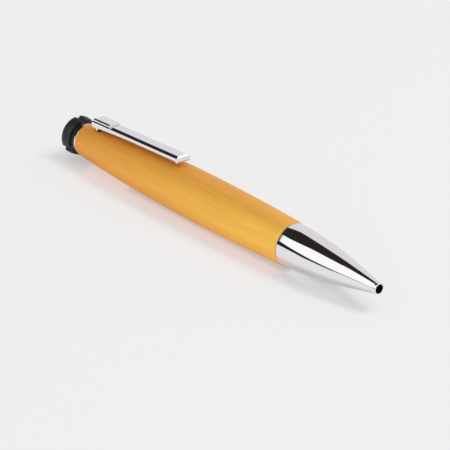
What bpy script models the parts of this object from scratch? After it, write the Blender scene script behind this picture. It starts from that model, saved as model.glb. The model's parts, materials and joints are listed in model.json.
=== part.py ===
"""Twist-action ballpoint pen, modelled as the pieces that it comes apart into.

Metres, +Z up. The pen lies along X on z = 0, with its point towards +X and its clip on top.
Turning the knob at the rear turns the cam tube. Its helical slots drive a cross pin, which the
straight slots of the fixed sleeve keep from turning, so the slider pushes the refill forwards
against the return spring.
"""

import math

import bmesh
import bpy
from mathutils import Matrix, Vector

MM = 0.001

# Clearances
SEAM = 0.10 * MM  # end to end, between neighbouring pieces
FIT = 0.05 * MM  # radial, pressed or glued pieces
RUN = 0.10 * MM  # radial, pieces that turn or slide
SLOT_GAP = 0.25 * MM  # round the clip's leg and toe
SLOT_FRONT = 1.2 * MM  # in front of the leg, room to hook the toe in

# Barrel
BARREL_LENGTH = 92.4 * MM
BARREL_REAR_R = 5.12 * MM
BELLY_R = 7.0 * MM
BELLY_FROM_REAR = 52.7 * MM
BARREL_FRONT_R = 6.12 * MM
BORE_R = 4.1 * MM
BARREL_EDGE = 0.2 * MM
REST_FLAT = 0.35 * MM  # depth of the flat under the belly, which keeps the pen from rolling

# Nose cone and the bushing that it screws into
NOSE_LENGTH = 33.6 * MM
NOSE_CONE_LENGTH = 11.8 * MM  # straight stretch before the tip
NOSE_REAR_SLOPE = 0.03
NOSE_WALL = 0.75 * MM
TIP_LIP = 0.22 * MM
TIP_BEAD = 0.15 * MM
TIP_BEAD_LENGTH = 0.9 * MM
TIP_BORE_LENGTH = 5.0 * MM  # from the tip's face back to the spring's seat
SPIGOT_LENGTH = 9.0 * MM
SPIGOT_WALL = 1.0 * MM
BUSHING_WALL = 0.65 * MM
BUSHING_OVERLAP = 1.5 * MM  # how far the bushing reaches past the spigot

# Trim ring and rear bushing
RING_WIDTH = 1.0 * MM
RING_INSET = 0.36 * MM  # below the barrel's rear rim
REAR_BUSHING_LENGTH = 6.0 * MM

# Knob
KNOB_LENGTH = 4.7 * MM
KNOB_R = 5.8 * MM  # over the lobes, at the end of their flare
KNOB_NECK_LENGTH = 1.4 * MM
KNOB_NECK_DEPTH = 1.05 * MM
KNOB_FLARE_LENGTH = 2.6 * MM
KNOB_FLARE = 0.45 * MM
KNOB_EDGE = 0.5 * MM
NOTCHES = 3
NOTCH_WIDTH = 2.0 * MM
NOTCH_REAR_DEPTH = 0.55 * MM
NOTCH_TURN_DEG = 90.0  # direction of the first notch, from +Y towards +Z
GRIP_WALL = 0.7 * MM
END_RIM = 2.25 * MM  # between a notch and the end cap's recess
END_CAP_THICKNESS = 0.8 * MM
CORE_R = 2.4 * MM
CORE_FLANGE = 0.8 * MM
CORE_WEB = 0.8 * MM
SCREW_HEAD_R = 1.1 * MM
SCREW_HEAD = 0.8 * MM
SCREW_R = 0.55 * MM
SCREW_BITE = 2.0 * MM  # screw length inside the stem
SOCKET_DEPTH = 0.4 * MM
SOCKET_R = 0.5 * MM

# Twist mechanism
TWIST_DEG = 150.0
TRAVEL = 5.0 * MM
SLEEVE_LENGTH = 21.5 * MM
SLEEVE_R = 3.1 * MM
SLEEVE_WALL = 0.5 * MM
SLEEVE_LIP = 1.2 * MM
RETAINER_INSET = 1.5 * MM
RETAINER_THICKNESS = 0.5 * MM
CAM_WALL = 0.6 * MM
CAM_FLOOR = 1.7 * MM
STEM_R = 1.5 * MM
FRICTION_RING_R = 0.4 * MM
PIN_R = 0.5 * MM
PIN_INSET = 3.0 * MM  # from the slider's rear end
PUSHER_LENGTH = 4.5 * MM
PUSHER_R = 2.5 * MM

# Refill
REFILL_R = 2.95 * MM
REFILL_TUBE_WALL = 0.35 * MM
REFILL_PLAY = 0.25 * MM  # radial, inside the nose
REFILL_RETRACT = 2.6 * MM  # from the ball to the tip's face at rest
PLUG_LENGTH = 3.0 * MM
SPIGOTS_IN_TUBE = 2.5 * MM
POINT_R = 1.15 * MM
POINT_CONE = 3.0 * MM
POINT_RIM_R = 0.72 * MM
NECK_LENGTH = 3.0 * MM
SHOULDER_LENGTH = 2.0 * MM
INK_LENGTH = 62.0 * MM
INK_CHANNEL_R = 0.35 * MM
BALL_R = 0.5 * MM
BALL_PLAY = 0.06 * MM
BALL_SHOWS = 0.3 * MM  # how far the ball stands out of its rim

# Return spring
WIRE_R = 0.2 * MM
SPRING_PLAY = 0.15 * MM
SPRING_CURLS = 6
POINTS_PER_CURL = 10

# Clip
CLIP_LENGTH = 40.5 * MM
CLIP_WIDTH = 4.46 * MM
CLIP_THICKNESS = 0.9 * MM
CLIP_FROM_REAR = 4.9 * MM  # from the barrel's rear end
CLIP_GAP_REAR = 1.55 * MM
CLIP_GAP_TIP = 1.53 * MM
CLIP_LIP_LENGTH = 1.0 * MM
CLIP_LIP_HEIGHT = 0.4 * MM
CLIP_CROWN_WIDTH = 0.8 * MM  # of the slope round the raised top
CLIP_CROWN_HEIGHT = 0.55 * MM
CLIP_SEAT_WIDTH = 0.36 * MM  # of the slope round the plate's seat
CLIP_SEAT_HEIGHT = 0.25 * MM
CLIP_HEEL = 0.7 * MM  # extra depth of the blade at its rear end
CLIP_HEEL_LENGTH = 20.0 * MM
CLIP_LEAN = 0.3 * MM  # of the tip's end face, backwards to the top
CLIP_FRONT_SLOPE = 0.35 * MM  # by which the crown's front slope is steeper than its sides
LEG_INSET = 1.0 * MM  # from the clip's rear end
LEG_THICKNESS = 0.9 * MM
LEG_WIDTH = 3.2 * MM
LEDGE = 0.4 * MM  # barrel wall left under the leg
TONGUE_WIDTH = 1.8 * MM
TOE_LENGTH = 1.6 * MM
PLATE_LENGTH = 8.0 * MM
PLATE_HEIGHT = 0.7 * MM
PLATE_SLOPE = 0.42 * MM  # width of the slope round the plate's top
PLATE_RISE = 0.29 * MM  # height of that slope
PLATE_INSET = 0.3 * MM

# Facets round a turned piece
SIDES = 48
INNER_SIDES = 24

FINISHES = {
    # node: (colour, metallic, roughness)
    "barrel": ((0.78, 0.40, 0.05), 0.6, 0.38),
    "nose_cone": ((0.80, 0.80, 0.82), 1.0, 0.05),
    "front_bushing": ((0.72, 0.52, 0.22), 1.0, 0.30),
    "trim_ring": ((0.80, 0.80, 0.82), 1.0, 0.05),
    "rear_bushing": ((0.72, 0.52, 0.22), 1.0, 0.30),
    "knob_grip": ((0.012, 0.012, 0.013), 0.0, 0.55),
    "knob_core": ((0.72, 0.52, 0.22), 1.0, 0.30),
    "knob_end_cap": ((0.015, 0.015, 0.016), 0.0, 0.35),
    "knob_screw": ((0.50, 0.50, 0.52), 1.0, 0.30),
    "mechanism_sleeve": ((0.72, 0.52, 0.22), 1.0, 0.30),
    "retaining_ring": ((0.45, 0.45, 0.47), 1.0, 0.35),
    "friction_ring": ((0.02, 0.02, 0.02), 0.0, 0.60),
    "cam_tube": ((0.75, 0.75, 0.72), 0.0, 0.45),
    "drive_slider": ((0.62, 0.64, 0.66), 0.0, 0.45),
    "drive_pin": ((0.60, 0.60, 0.62), 1.0, 0.20),
    "refill_plug": ((0.05, 0.05, 0.05), 0.0, 0.45),
    "refill_tube": ((0.60, 0.60, 0.58), 1.0, 0.28),
    "ink_column": ((0.01, 0.012, 0.03), 0.0, 0.20),
    "refill_tip": ((0.66, 0.62, 0.55), 1.0, 0.20),
    "refill_ball": ((0.35, 0.35, 0.36), 1.0, 0.12),
    "return_spring": ((0.62, 0.62, 0.64), 1.0, 0.22),
    "clip": ((0.80, 0.80, 0.82), 1.0, 0.05),
    "clip_plate": ((0.80, 0.80, 0.82), 1.0, 0.06),
}

# Stations along the pen, from the knob's rear face to the tip's face
TOTAL_LENGTH = KNOB_LENGTH + RING_WIDTH + BARREL_LENGTH + NOSE_LENGTH + 3 * SEAM
X_KNOB_REAR = -TOTAL_LENGTH / 2
X_KNOB_FRONT = X_KNOB_REAR + KNOB_LENGTH
X_RING_REAR = X_KNOB_FRONT + SEAM
X_RING_FRONT = X_RING_REAR + RING_WIDTH
X_BARREL_REAR = X_RING_FRONT + SEAM
X_BARREL_FRONT = X_BARREL_REAR + BARREL_LENGTH
X_NOSE_REAR = X_BARREL_FRONT + SEAM
X_TIP = X_NOSE_REAR + NOSE_LENGTH

# The belly rests on its flat
AXIS_Z = BELLY_R - REST_FLAT

# Radii that follow from what fits inside what
NOSE_BORE_R = REFILL_R + REFILL_PLAY
SPIGOT_R = NOSE_BORE_R + SPIGOT_WALL
FRONT_BUSHING_R = SPIGOT_R + FIT + BUSHING_WALL
TIP_HOLE_R = POINT_R + RUN
TIP_R = TIP_HOLE_R + TIP_LIP
SPRING_MEAN_R = POINT_R + SPRING_PLAY + WIRE_R
NECK_R = SPRING_MEAN_R + WIRE_R
SPRING_BORE_R = NECK_R + SPRING_PLAY
SLEEVE_BORE_R = SLEEVE_R - SLEEVE_WALL
CAM_R = SLEEVE_BORE_R - RUN
CAM_BORE_R = CAM_R - CAM_WALL
SLIDER_R = CAM_BORE_R - RUN
TUBE_BORE_R = REFILL_R - REFILL_TUBE_WALL
IN_TUBE_R = TUBE_BORE_R - FIT
END_RECESS_R = KNOB_R - NOTCH_REAR_DEPTH - END_RIM
FLANGE_RECESS_R = KNOB_R - KNOB_NECK_DEPTH - GRIP_WALL

# Mechanism stations
X_SLEEVE_REAR = X_RING_REAR
X_SLEEVE_FRONT = X_SLEEVE_REAR + SLEEVE_LENGTH
X_RETAINER = X_SLEEVE_REAR + RETAINER_INSET
X_CAM_REAR = X_RETAINER + RETAINER_THICKNESS + SEAM
X_CAM_FLOOR = X_CAM_REAR + CAM_FLOOR
X_CAM_FRONT = X_SLEEVE_FRONT - SLEEVE_LIP - SEAM
X_SLIDER_REAR = X_CAM_FLOOR + SEAM
X_PIN = X_SLIDER_REAR + PIN_INSET
X_PUSHER_REAR = X_SLEEVE_FRONT + SEAM
X_PUSHER_FRONT = X_PUSHER_REAR + PUSHER_LENGTH

# Knob stations
X_CORE_REAR = X_KNOB_REAR + END_CAP_THICKNESS + SEAM
X_SCREW_SEAT = X_CORE_REAR + SCREW_HEAD + SEAM
X_STEM_REAR = X_SCREW_SEAT + CORE_WEB + SEAM

# Refill stations
X_REFILL_REAR = X_PUSHER_FRONT + SEAM
X_TUBE_REAR = X_REFILL_REAR + PLUG_LENGTH + SEAM
X_BALL_TIP = X_TIP - REFILL_RETRACT
X_BALL = X_BALL_TIP - BALL_R
X_POINT_RIM = X_BALL_TIP - BALL_SHOWS
X_SPRING_SEAT = X_TIP - TIP_BORE_LENGTH

# Clip stations
X_CLIP_REAR = X_BARREL_REAR + CLIP_FROM_REAR
X_CLIP_TIP = X_CLIP_REAR + CLIP_LENGTH
X_LEG_REAR = X_CLIP_REAR + LEG_INSET
X_LEG_FRONT = X_LEG_REAR + LEG_THICKNESS
Z_SLOT_FLOOR = BORE_R + LEDGE
Z_TOE_LOW = SLEEVE_R + SLOT_GAP
Z_TOE_TOP = math.sqrt(BORE_R**2 - (TONGUE_WIDTH / 2) ** 2) - SLOT_GAP
CLIP_HINGE = Vector((X_LEG_REAR + LEG_THICKNESS / 2, 0.0, Z_SLOT_FLOOR))


def barrel_r(x):
    """Outer radius of the barrel: two parabolas that meet at the belly."""
    along = x - X_BARREL_REAR
    if along < BELLY_FROM_REAR:
        drop, span = BELLY_R - BARREL_REAR_R, BELLY_FROM_REAR
    else:
        drop, span = BELLY_R - BARREL_FRONT_R, BARREL_LENGTH - BELLY_FROM_REAR
    return BELLY_R - drop * ((along - BELLY_FROM_REAR) / span) ** 2


def nose_r(x):
    """Outer radius of the nose: a curve that runs on from the barrel, then a straight cone."""
    along = x - X_NOSE_REAR
    curve = NOSE_LENGTH - NOSE_CONE_LENGTH
    fall = BARREL_FRONT_R - TIP_R - NOSE_REAR_SLOPE * curve / 2
    cone_slope = fall / (curve / 2 + NOSE_CONE_LENGTH)
    bend = min(along, curve)
    radius = BARREL_FRONT_R - NOSE_REAR_SLOPE * bend
    radius -= (cone_slope - NOSE_REAR_SLOPE) * bend**2 / (2 * curve)
    return radius - cone_slope * max(along - curve, 0.0)


def nose_station(radius):
    """Where along the nose its outer radius has come down to this value."""
    low, high = X_NOSE_REAR, X_TIP
    for _ in range(40):
        middle = (low + high) / 2
        low, high = (middle, high) if nose_r(middle) > radius else (low, middle)
    return low


def spread(start, end, count):
    """Evenly spaced stations, both ends included."""
    return [start + (end - start) * i / (count - 1) for i in range(count)]


# Where the refill's shoulder stops when the point is out, short of the nose's inner taper
X_NOSE_BORE_END = nose_station(NOSE_BORE_R + NOSE_WALL)
X_SHOULDER = X_NOSE_BORE_END - TRAVEL - SEAM
X_NECK_REAR = X_SHOULDER + SHOULDER_LENGTH
X_NECK_FRONT = X_NECK_REAR + NECK_LENGTH


def empty(name, place):
    """A bare axis to hang the pieces of one body on."""
    axis = bpy.data.objects.new(name, None)
    axis.empty_display_size = 5 * MM
    axis.location = place
    bpy.context.collection.objects.link(axis)
    return axis


def add(name, data, parent):
    """Puts a mesh or a curve in the scene under its axis, with its own finish."""
    part = bpy.data.objects.new(name, data)
    bpy.context.collection.objects.link(part)
    part.parent = parent
    if name in FINISHES:
        colour, metallic, roughness = FINISHES[name]
        finish = bpy.data.materials.new(name + "_finish")
        finish.use_nodes = True
        shader = finish.node_tree.nodes["Principled BSDF"]
        shader.inputs["Base Color"].default_value = (*colour, 1.0)
        shader.inputs["Metallic"].default_value = metallic
        shader.inputs["Roughness"].default_value = roughness
        data.materials.append(finish)
    return part


def mesh_of(name, bm):
    """Closes a bmesh into a smooth-shaded mesh whose faces point out."""
    bmesh.ops.recalc_face_normals(bm, faces=bm.faces)
    mesh = bpy.data.meshes.new(name)
    bm.to_mesh(mesh)
    bm.free()
    mesh.shade_smooth()
    mesh.set_sharp_from_angle(angle=math.radians(30))
    return mesh


def turned_mesh(name, outline, sides):
    """Spins an outline of (x, radius) points about the pen's axis.

    An outline whose ends lie on the axis is solid, and any other closes on itself. It starts half
    a facet round, so that flat facets face up and down.
    """
    bm = bmesh.new()
    points = [bm.verts.new((x, 0.0, r)) for x, r in outline]
    edges = [bm.edges.new(pair) for pair in zip(points, points[1:])]
    if outline[0][1] > 0:
        edges.append(bm.edges.new((points[-1], points[0])))
    half_facet = Matrix.Rotation(math.pi / sides, 3, "X")
    bmesh.ops.rotate(bm, verts=points, cent=(0, 0, 0), matrix=half_facet)
    bmesh.ops.spin(
        bm,
        geom=points + edges,
        cent=(0, 0, 0),
        axis=(1, 0, 0),
        angle=2 * math.pi,
        steps=sides,
        use_merge=True,
    )
    bmesh.ops.remove_doubles(bm, verts=bm.verts, dist=1e-7)
    return mesh_of(name, bm)


def turned(name, outline, parent, sides=INNER_SIDES):
    return add(name, turned_mesh(name, outline, sides), parent)


def ring_outline(x0, x1, inner, outer):
    return [(x0, inner), (x0, outer), (x1, outer), (x1, inner)]


def block_mesh(name, low, high):
    bm = bmesh.new()
    bmesh.ops.create_cube(bm, size=1.0)
    low, high = Vector(low), Vector(high)
    bmesh.ops.scale(bm, verts=bm.verts, vec=high - low)
    bmesh.ops.translate(bm, verts=bm.verts, vec=(low + high) / 2)
    return mesh_of(name, bm)


def cross_rod_mesh(name, x, radius, half_length, sides):
    """A round rod across the pen, along Y."""
    bm = bmesh.new()
    bmesh.ops.create_cone(
        bm,
        cap_ends=True,
        segments=sides,
        radius1=radius,
        radius2=radius,
        depth=2 * half_length,
    )
    bmesh.ops.rotate(bm, verts=bm.verts, matrix=Matrix.Rotation(math.pi / 2, 3, "X"))
    bmesh.ops.translate(bm, verts=bm.verts, vec=(x, 0, 0))
    return mesh_of(name, bm)


def combine(part, name, mesh, operation):
    """Joins on or cuts away a mesh, given in the part's own coordinates."""
    guide = add(name, mesh, part.parent)
    guide.hide_render = True
    guide.display_type = "WIRE"
    boolean = part.modifiers.new(name, "BOOLEAN")
    boolean.operation = operation
    boolean.solver = "EXACT"
    boolean.object = guide


def cut(part, name, mesh):
    combine(part, name, mesh, "DIFFERENCE")


def make_barrel(parent):
    x0, x1 = X_BARREL_REAR, X_BARREL_FRONT
    belly = x0 + BELLY_FROM_REAR
    counterbore = x1 - SPIGOT_LENGTH - BUSHING_OVERLAP - SEAM
    outline = [(x0, BARREL_REAR_R - BARREL_EDGE)]
    outline += [(x, barrel_r(x)) for x in spread(x0 + BARREL_EDGE, belly, 9)]
    outline += [(x, barrel_r(x)) for x in spread(belly, x1 - BARREL_EDGE, 8)[1:]]
    outline += [
        (x1, BARREL_FRONT_R - BARREL_EDGE),
        (x1, FRONT_BUSHING_R + FIT),
        (counterbore, FRONT_BUSHING_R + FIT),
        (counterbore, BORE_R),
        (x0, BORE_R),
    ]
    barrel = turned("barrel", outline, parent, SIDES)
    slot_x = (X_LEG_REAR - SLOT_GAP, X_LEG_FRONT + SLOT_FRONT)
    wide = LEG_WIDTH / 2 + SLOT_GAP
    narrow = TONGUE_WIDTH / 2 + SLOT_GAP
    leg_slot = block_mesh(
        "leg_slot",
        (slot_x[0], -wide, Z_SLOT_FLOOR),
        (slot_x[1], wide, BELLY_R),
    )
    tongue_slot = block_mesh(
        "tongue_slot",
        (slot_x[0], -narrow, SLEEVE_R),
        (slot_x[1], narrow, BELLY_R),
    )
    rest_flat = block_mesh(
        "rest_flat",
        (x0 - SEAM, -BELLY_R, -BELLY_R - SEAM),
        (x1 + SEAM, BELLY_R, REST_FLAT - BELLY_R),
    )
    cut(barrel, "cut_leg_slot", leg_slot)
    cut(barrel, "cut_tongue_slot", tongue_slot)
    cut(barrel, "cut_rest_flat", rest_flat)


def make_nose(parent):
    curve_end = X_TIP - NOSE_CONE_LENGTH
    bead_rear = X_TIP - TIP_BEAD_LENGTH
    bead_r = TIP_R + TIP_BEAD
    x_taper_end = X_NECK_REAR + TRAVEL + SEAM
    spigot_rear = X_NOSE_REAR - SPIGOT_LENGTH
    outline = [(spigot_rear, SPIGOT_R), (X_NOSE_REAR, SPIGOT_R)]
    outline += [(x, nose_r(x)) for x in spread(X_NOSE_REAR, curve_end, 10)]
    outline += [
        (bead_rear, nose_r(bead_rear)),
        (bead_rear + TIP_BEAD_LENGTH / 3, bead_r),
        (X_TIP - TIP_BEAD_LENGTH / 3, bead_r),
        (X_TIP, TIP_R),
        (X_TIP, TIP_HOLE_R),
        (X_SPRING_SEAT, TIP_HOLE_R),
        (X_SPRING_SEAT, SPRING_BORE_R),
        (x_taper_end, SPRING_BORE_R),
        (X_NOSE_BORE_END, NOSE_BORE_R),
        (spigot_rear, NOSE_BORE_R),
    ]
    turned("nose_cone", outline, parent, SIDES)
    bushing_rear = X_BARREL_FRONT - SPIGOT_LENGTH - BUSHING_OVERLAP
    bushing = ring_outline(
        bushing_rear, X_BARREL_FRONT, SPIGOT_R + FIT, FRONT_BUSHING_R
    )
    turned("front_bushing", bushing, parent, SIDES)


def make_rear_trim(parent):
    outer = BARREL_REAR_R - RING_INSET
    edge = RING_WIDTH / 4
    outline = [
        (X_RING_REAR, BORE_R),
        (X_RING_REAR, outer - edge),
        (X_RING_REAR + edge, outer),
        (X_RING_FRONT - edge, outer),
        (X_RING_FRONT, outer - edge),
        (X_RING_FRONT, BORE_R),
    ]
    turned("trim_ring", outline, parent, SIDES)
    bushing = ring_outline(
        X_RING_REAR,
        X_RING_REAR + REAR_BUSHING_LENGTH,
        SLEEVE_R + FIT,
        BORE_R - FIT,
    )
    turned("rear_bushing", bushing, parent)


def notch_mesh(name, direction):
    """A wedge along the knob, whose floor rises from the neck's radius to the rear."""
    x_rear = X_KNOB_REAR - KNOB_LENGTH
    x_front = X_KNOB_FRONT - KNOB_NECK_LENGTH
    front_floor = KNOB_R - KNOB_NECK_DEPTH
    fall = (NOTCH_REAR_DEPTH - KNOB_NECK_DEPTH) / (x_front - X_KNOB_REAR)
    outline = [
        (x_rear, 2 * KNOB_R),
        (x_rear, front_floor - fall * (x_front - x_rear)),
        (x_front, front_floor),
        (x_front, 2 * KNOB_R),
    ]
    bm = extruded_bmesh(outline, NOTCH_WIDTH)
    turn = Matrix.Rotation(direction - math.pi / 2, 3, "X")
    bmesh.ops.rotate(bm, verts=bm.verts, cent=(0, 0, 0), matrix=turn)
    return mesh_of(name, bm)


def make_knob(parent):
    neck_r = KNOB_R - KNOB_NECK_DEPTH
    x_lobes = X_KNOB_FRONT - KNOB_NECK_LENGTH
    flange_rear = X_KNOB_FRONT - CORE_FLANGE - SEAM
    grip = [
        (X_KNOB_REAR, END_RECESS_R),
        (X_KNOB_REAR, KNOB_R - KNOB_EDGE),
        (X_KNOB_REAR + 0.3 * KNOB_EDGE, KNOB_R - 0.3 * KNOB_EDGE),
        (X_KNOB_REAR + KNOB_EDGE, KNOB_R),
        (x_lobes - KNOB_FLARE_LENGTH, KNOB_R),
        (x_lobes, KNOB_R - KNOB_FLARE),
        (x_lobes, neck_r),
        (X_KNOB_FRONT, neck_r),
        (X_KNOB_FRONT, FLANGE_RECESS_R),
        (flange_rear, FLANGE_RECESS_R),
        (flange_rear, CORE_R + FIT),
        (X_CORE_REAR, CORE_R + FIT),
        (X_CORE_REAR, END_RECESS_R),
    ]
    grip = turned("knob_grip", grip, parent, SIDES)
    for i in range(NOTCHES):
        direction = math.radians(NOTCH_TURN_DEG + 360 * i / NOTCHES)
        cut(grip, f"cut_notch_{i}", notch_mesh(f"notch_{i}", direction))

    core = [
        (X_CORE_REAR, SCREW_HEAD_R + RUN),
        (X_CORE_REAR, CORE_R),
        (X_KNOB_FRONT - CORE_FLANGE, CORE_R),
        (X_KNOB_FRONT - CORE_FLANGE, FLANGE_RECESS_R - FIT),
        (X_KNOB_FRONT, FLANGE_RECESS_R - FIT),
        (X_KNOB_FRONT, STEM_R + FIT),
        (X_STEM_REAR - SEAM, STEM_R + FIT),
        (X_STEM_REAR - SEAM, SCREW_R + FIT),
        (X_SCREW_SEAT, SCREW_R + FIT),
        (X_SCREW_SEAT, SCREW_HEAD_R + RUN),
    ]
    turned("knob_core", core, parent)

    cap_front = X_KNOB_REAR + END_CAP_THICKNESS
    cap_r = END_RECESS_R - FIT
    edge = END_CAP_THICKNESS / 4
    cap = [
        (X_KNOB_REAR, 0.0),
        (X_KNOB_REAR, cap_r - edge),
        (X_KNOB_REAR + edge, cap_r),
        (cap_front, cap_r),
        (cap_front, 0.0),
    ]
    turned("knob_end_cap", cap, parent)

    screw = [
        (X_CORE_REAR + SOCKET_DEPTH, 0.0),
        (X_CORE_REAR + SOCKET_DEPTH, SOCKET_R),
        (X_CORE_REAR, SOCKET_R),
        (X_CORE_REAR, SCREW_HEAD_R),
        (X_SCREW_SEAT - SEAM, SCREW_HEAD_R),
        (X_SCREW_SEAT - SEAM, SCREW_R),
        (X_STEM_REAR + SCREW_BITE, SCREW_R),
        (X_STEM_REAR + SCREW_BITE, 0.0),
    ]
    turned("knob_screw", screw, parent)


def helical_slot_mesh(name, start_angle):
    """A ribbon that winds forwards round the axis as the cam tube turns back under the pin."""
    half_width = PIN_R + RUN + FIT
    mean_r = (CAM_R + CAM_BORE_R) / 2
    turn = math.radians(TWIST_DEG)
    tilt = math.atan2(TRAVEL, mean_r * turn)
    overrun = half_width / (mean_r * math.cos(tilt))
    inner, outer = SLIDER_R - RUN, SLEEVE_BORE_R + RUN
    bm = bmesh.new()
    rings = []
    for turned_by in spread(-overrun, turn + overrun, 18):
        corners = []
        for side, radius in ((-1, inner), (-1, outer), (1, outer), (1, inner)):
            x = X_PIN + TRAVEL * turned_by / turn + side * half_width * math.cos(tilt)
            back = side * half_width * math.sin(tilt) / mean_r
            angle = start_angle - turned_by + back
            corners.append((x, radius * math.cos(angle), radius * math.sin(angle)))
        rings.append([bm.verts.new(c) for c in corners])
    for ring, following in zip(rings, rings[1:]):
        for i in range(4):
            j = (i + 1) % 4
            bm.faces.new((ring[i], ring[j], following[j], following[i]))
    bm.faces.new(rings[0])
    bm.faces.new(rings[-1])
    return mesh_of(name, bm)


def make_fixed_mechanism(parent):
    sleeve = [
        (X_SLEEVE_REAR, SLEEVE_BORE_R),
        (X_SLEEVE_REAR, SLEEVE_R),
        (X_SLEEVE_FRONT, SLEEVE_R),
        (X_SLEEVE_FRONT, SLIDER_R + RUN),
        (X_SLEEVE_FRONT - SLEEVE_LIP, SLIDER_R + RUN),
        (X_SLEEVE_FRONT - SLEEVE_LIP, SLEEVE_BORE_R),
    ]
    sleeve = turned("mechanism_sleeve", sleeve, parent)
    half_width = PIN_R + RUN
    straight_slot = block_mesh(
        "straight_slot",
        (X_PIN - half_width, -SLEEVE_R - RUN, -half_width),
        (X_PIN + TRAVEL + half_width, SLEEVE_R + RUN, half_width),
    )
    cut(sleeve, "cut_straight_slot", straight_slot)
    retainer = ring_outline(
        X_RETAINER,
        X_RETAINER + RETAINER_THICKNESS,
        STEM_R + RUN,
        SLEEVE_BORE_R - FIT,
    )
    turned("retaining_ring", retainer, parent)


def make_cam(parent):
    groove_half = FRICTION_RING_R + FIT
    groove_x = X_CAM_REAR + CAM_FLOOR / 2
    groove_r = SLEEVE_BORE_R - FIT - 2 * FRICTION_RING_R - FIT
    hole_r = SCREW_R + FIT
    hole_end = X_STEM_REAR + SCREW_BITE + SEAM
    cam = [
        (hole_end, 0.0),
        (hole_end, hole_r),
        (X_STEM_REAR, hole_r),
        (X_STEM_REAR, STEM_R),
        (X_CAM_REAR, STEM_R),
        (X_CAM_REAR, CAM_R),
        (groove_x - groove_half, CAM_R),
        (groove_x - groove_half, groove_r),
        (groove_x + groove_half, groove_r),
        (groove_x + groove_half, CAM_R),
        (X_CAM_FRONT, CAM_R),
        (X_CAM_FRONT, CAM_BORE_R),
        (X_CAM_FLOOR, CAM_BORE_R),
        (X_CAM_FLOOR, 0.0),
    ]
    cam = turned("cam_tube", cam, parent)
    for i in range(2):
        slot = helical_slot_mesh(f"helical_slot_{i}", i * math.pi)
        cut(cam, f"cut_helical_slot_{i}", slot)

    ring_r = SLEEVE_BORE_R - FIT - FRICTION_RING_R
    section = [i * math.pi / 4 for i in range(8)]
    friction = [
        (
            groove_x + FRICTION_RING_R * math.cos(a),
            ring_r + FRICTION_RING_R * math.sin(a),
        )
        for a in section
    ]
    turned("friction_ring", friction, parent)


def make_drive(parent):
    slider = [
        (X_SLIDER_REAR, 0.0),
        (X_SLIDER_REAR, SLIDER_R),
        (X_PUSHER_REAR, SLIDER_R),
        (X_PUSHER_REAR, PUSHER_R),
        (X_PUSHER_FRONT, PUSHER_R),
        (X_PUSHER_FRONT, 0.0),
    ]
    slider = turned("drive_slider", slider, parent)
    pin_hole = cross_rod_mesh("pin_hole", X_PIN, PIN_R + FIT, SLEEVE_R, 12)
    cut(slider, "cut_pin_hole", pin_hole)
    add("drive_pin", cross_rod_mesh("drive_pin", X_PIN, PIN_R, SLEEVE_R - FIT, 12), parent)


def make_refill(parent):
    plug_front = X_REFILL_REAR + PLUG_LENGTH
    plug = [
        (X_REFILL_REAR, 0.0),
        (X_REFILL_REAR, REFILL_R),
        (plug_front, REFILL_R),
        (plug_front, IN_TUBE_R),
        (plug_front + SPIGOTS_IN_TUBE, IN_TUBE_R),
        (plug_front + SPIGOTS_IN_TUBE, 0.0),
    ]
    turned("refill_plug", plug, parent)

    tube_front = X_SHOULDER - SEAM
    tube = ring_outline(X_TUBE_REAR, tube_front, TUBE_BORE_R, REFILL_R)
    turned("refill_tube", tube, parent)

    spigot_rear = X_SHOULDER - SPIGOTS_IN_TUBE
    ink_front = spigot_rear - SEAM
    ink = [
        (ink_front - INK_LENGTH, 0.0),
        (ink_front - INK_LENGTH, IN_TUBE_R),
        (ink_front, IN_TUBE_R),
        (ink_front, 0.0),
    ]
    turned("ink_column", ink, parent)

    socket_r = BALL_R + BALL_PLAY
    socket_rear = X_BALL - BALL_R - BALL_PLAY
    tip = [
        (spigot_rear, INK_CHANNEL_R),
        (spigot_rear, IN_TUBE_R),
        (X_SHOULDER, IN_TUBE_R),
        (X_SHOULDER, REFILL_R),
        (X_NECK_REAR, NECK_R),
        (X_NECK_FRONT, NECK_R),
        (X_NECK_FRONT, POINT_R),
        (X_POINT_RIM - POINT_CONE, POINT_R),
        (X_POINT_RIM, POINT_RIM_R),
        (X_POINT_RIM, socket_r),
        (socket_rear, socket_r),
        (socket_rear, INK_CHANNEL_R),
    ]
    turned("refill_tip", tip, parent)


def make_ball(parent):
    bm = bmesh.new()
    bmesh.ops.create_uvsphere(bm, u_segments=16, v_segments=10, radius=BALL_R)
    add("refill_ball", mesh_of("refill_ball", bm), parent)


def make_spring(parent):
    """One unbroken wire from the refill's neck to the seat in the nose."""
    end_gap = WIRE_R + SEAM
    start, end = X_NECK_FRONT + end_gap, X_SPRING_SEAT - end_gap
    count = SPRING_CURLS * POINTS_PER_CURL + 1
    points = []
    for i, x in enumerate(spread(start, end, count)):
        angle = 2 * math.pi * i / POINTS_PER_CURL
        y = SPRING_MEAN_R * math.cos(angle)
        z = SPRING_MEAN_R * math.sin(angle)
        points.append(Vector((x, y, z)))
    apart = min(
        (points[i] - points[j]).length
        for i in range(count)
        for j in range(i + POINTS_PER_CURL // 2, count)
    )
    print(f"return_spring: least gap to itself {(apart - 2 * WIRE_R) / MM:.2f} mm")
    wire = bpy.data.curves.new("return_spring", "CURVE")
    wire.dimensions = "3D"
    wire.bevel_depth = WIRE_R
    wire.bevel_resolution = 1
    wire.use_fill_caps = True
    spline = wire.splines.new("POLY")
    spline.points.add(count - 1)
    for point, place in zip(spline.points, points):
        point.co = (*place, 1.0)
    add("return_spring", wire, parent)


def blade_under(x):
    """Height of the blade's underside over the pen's axis."""
    rear = barrel_r(X_CLIP_REAR) + CLIP_GAP_REAR
    tip = barrel_r(X_CLIP_TIP) + CLIP_GAP_TIP
    return rear + (tip - rear) * (x - X_CLIP_REAR) / CLIP_LENGTH


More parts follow.
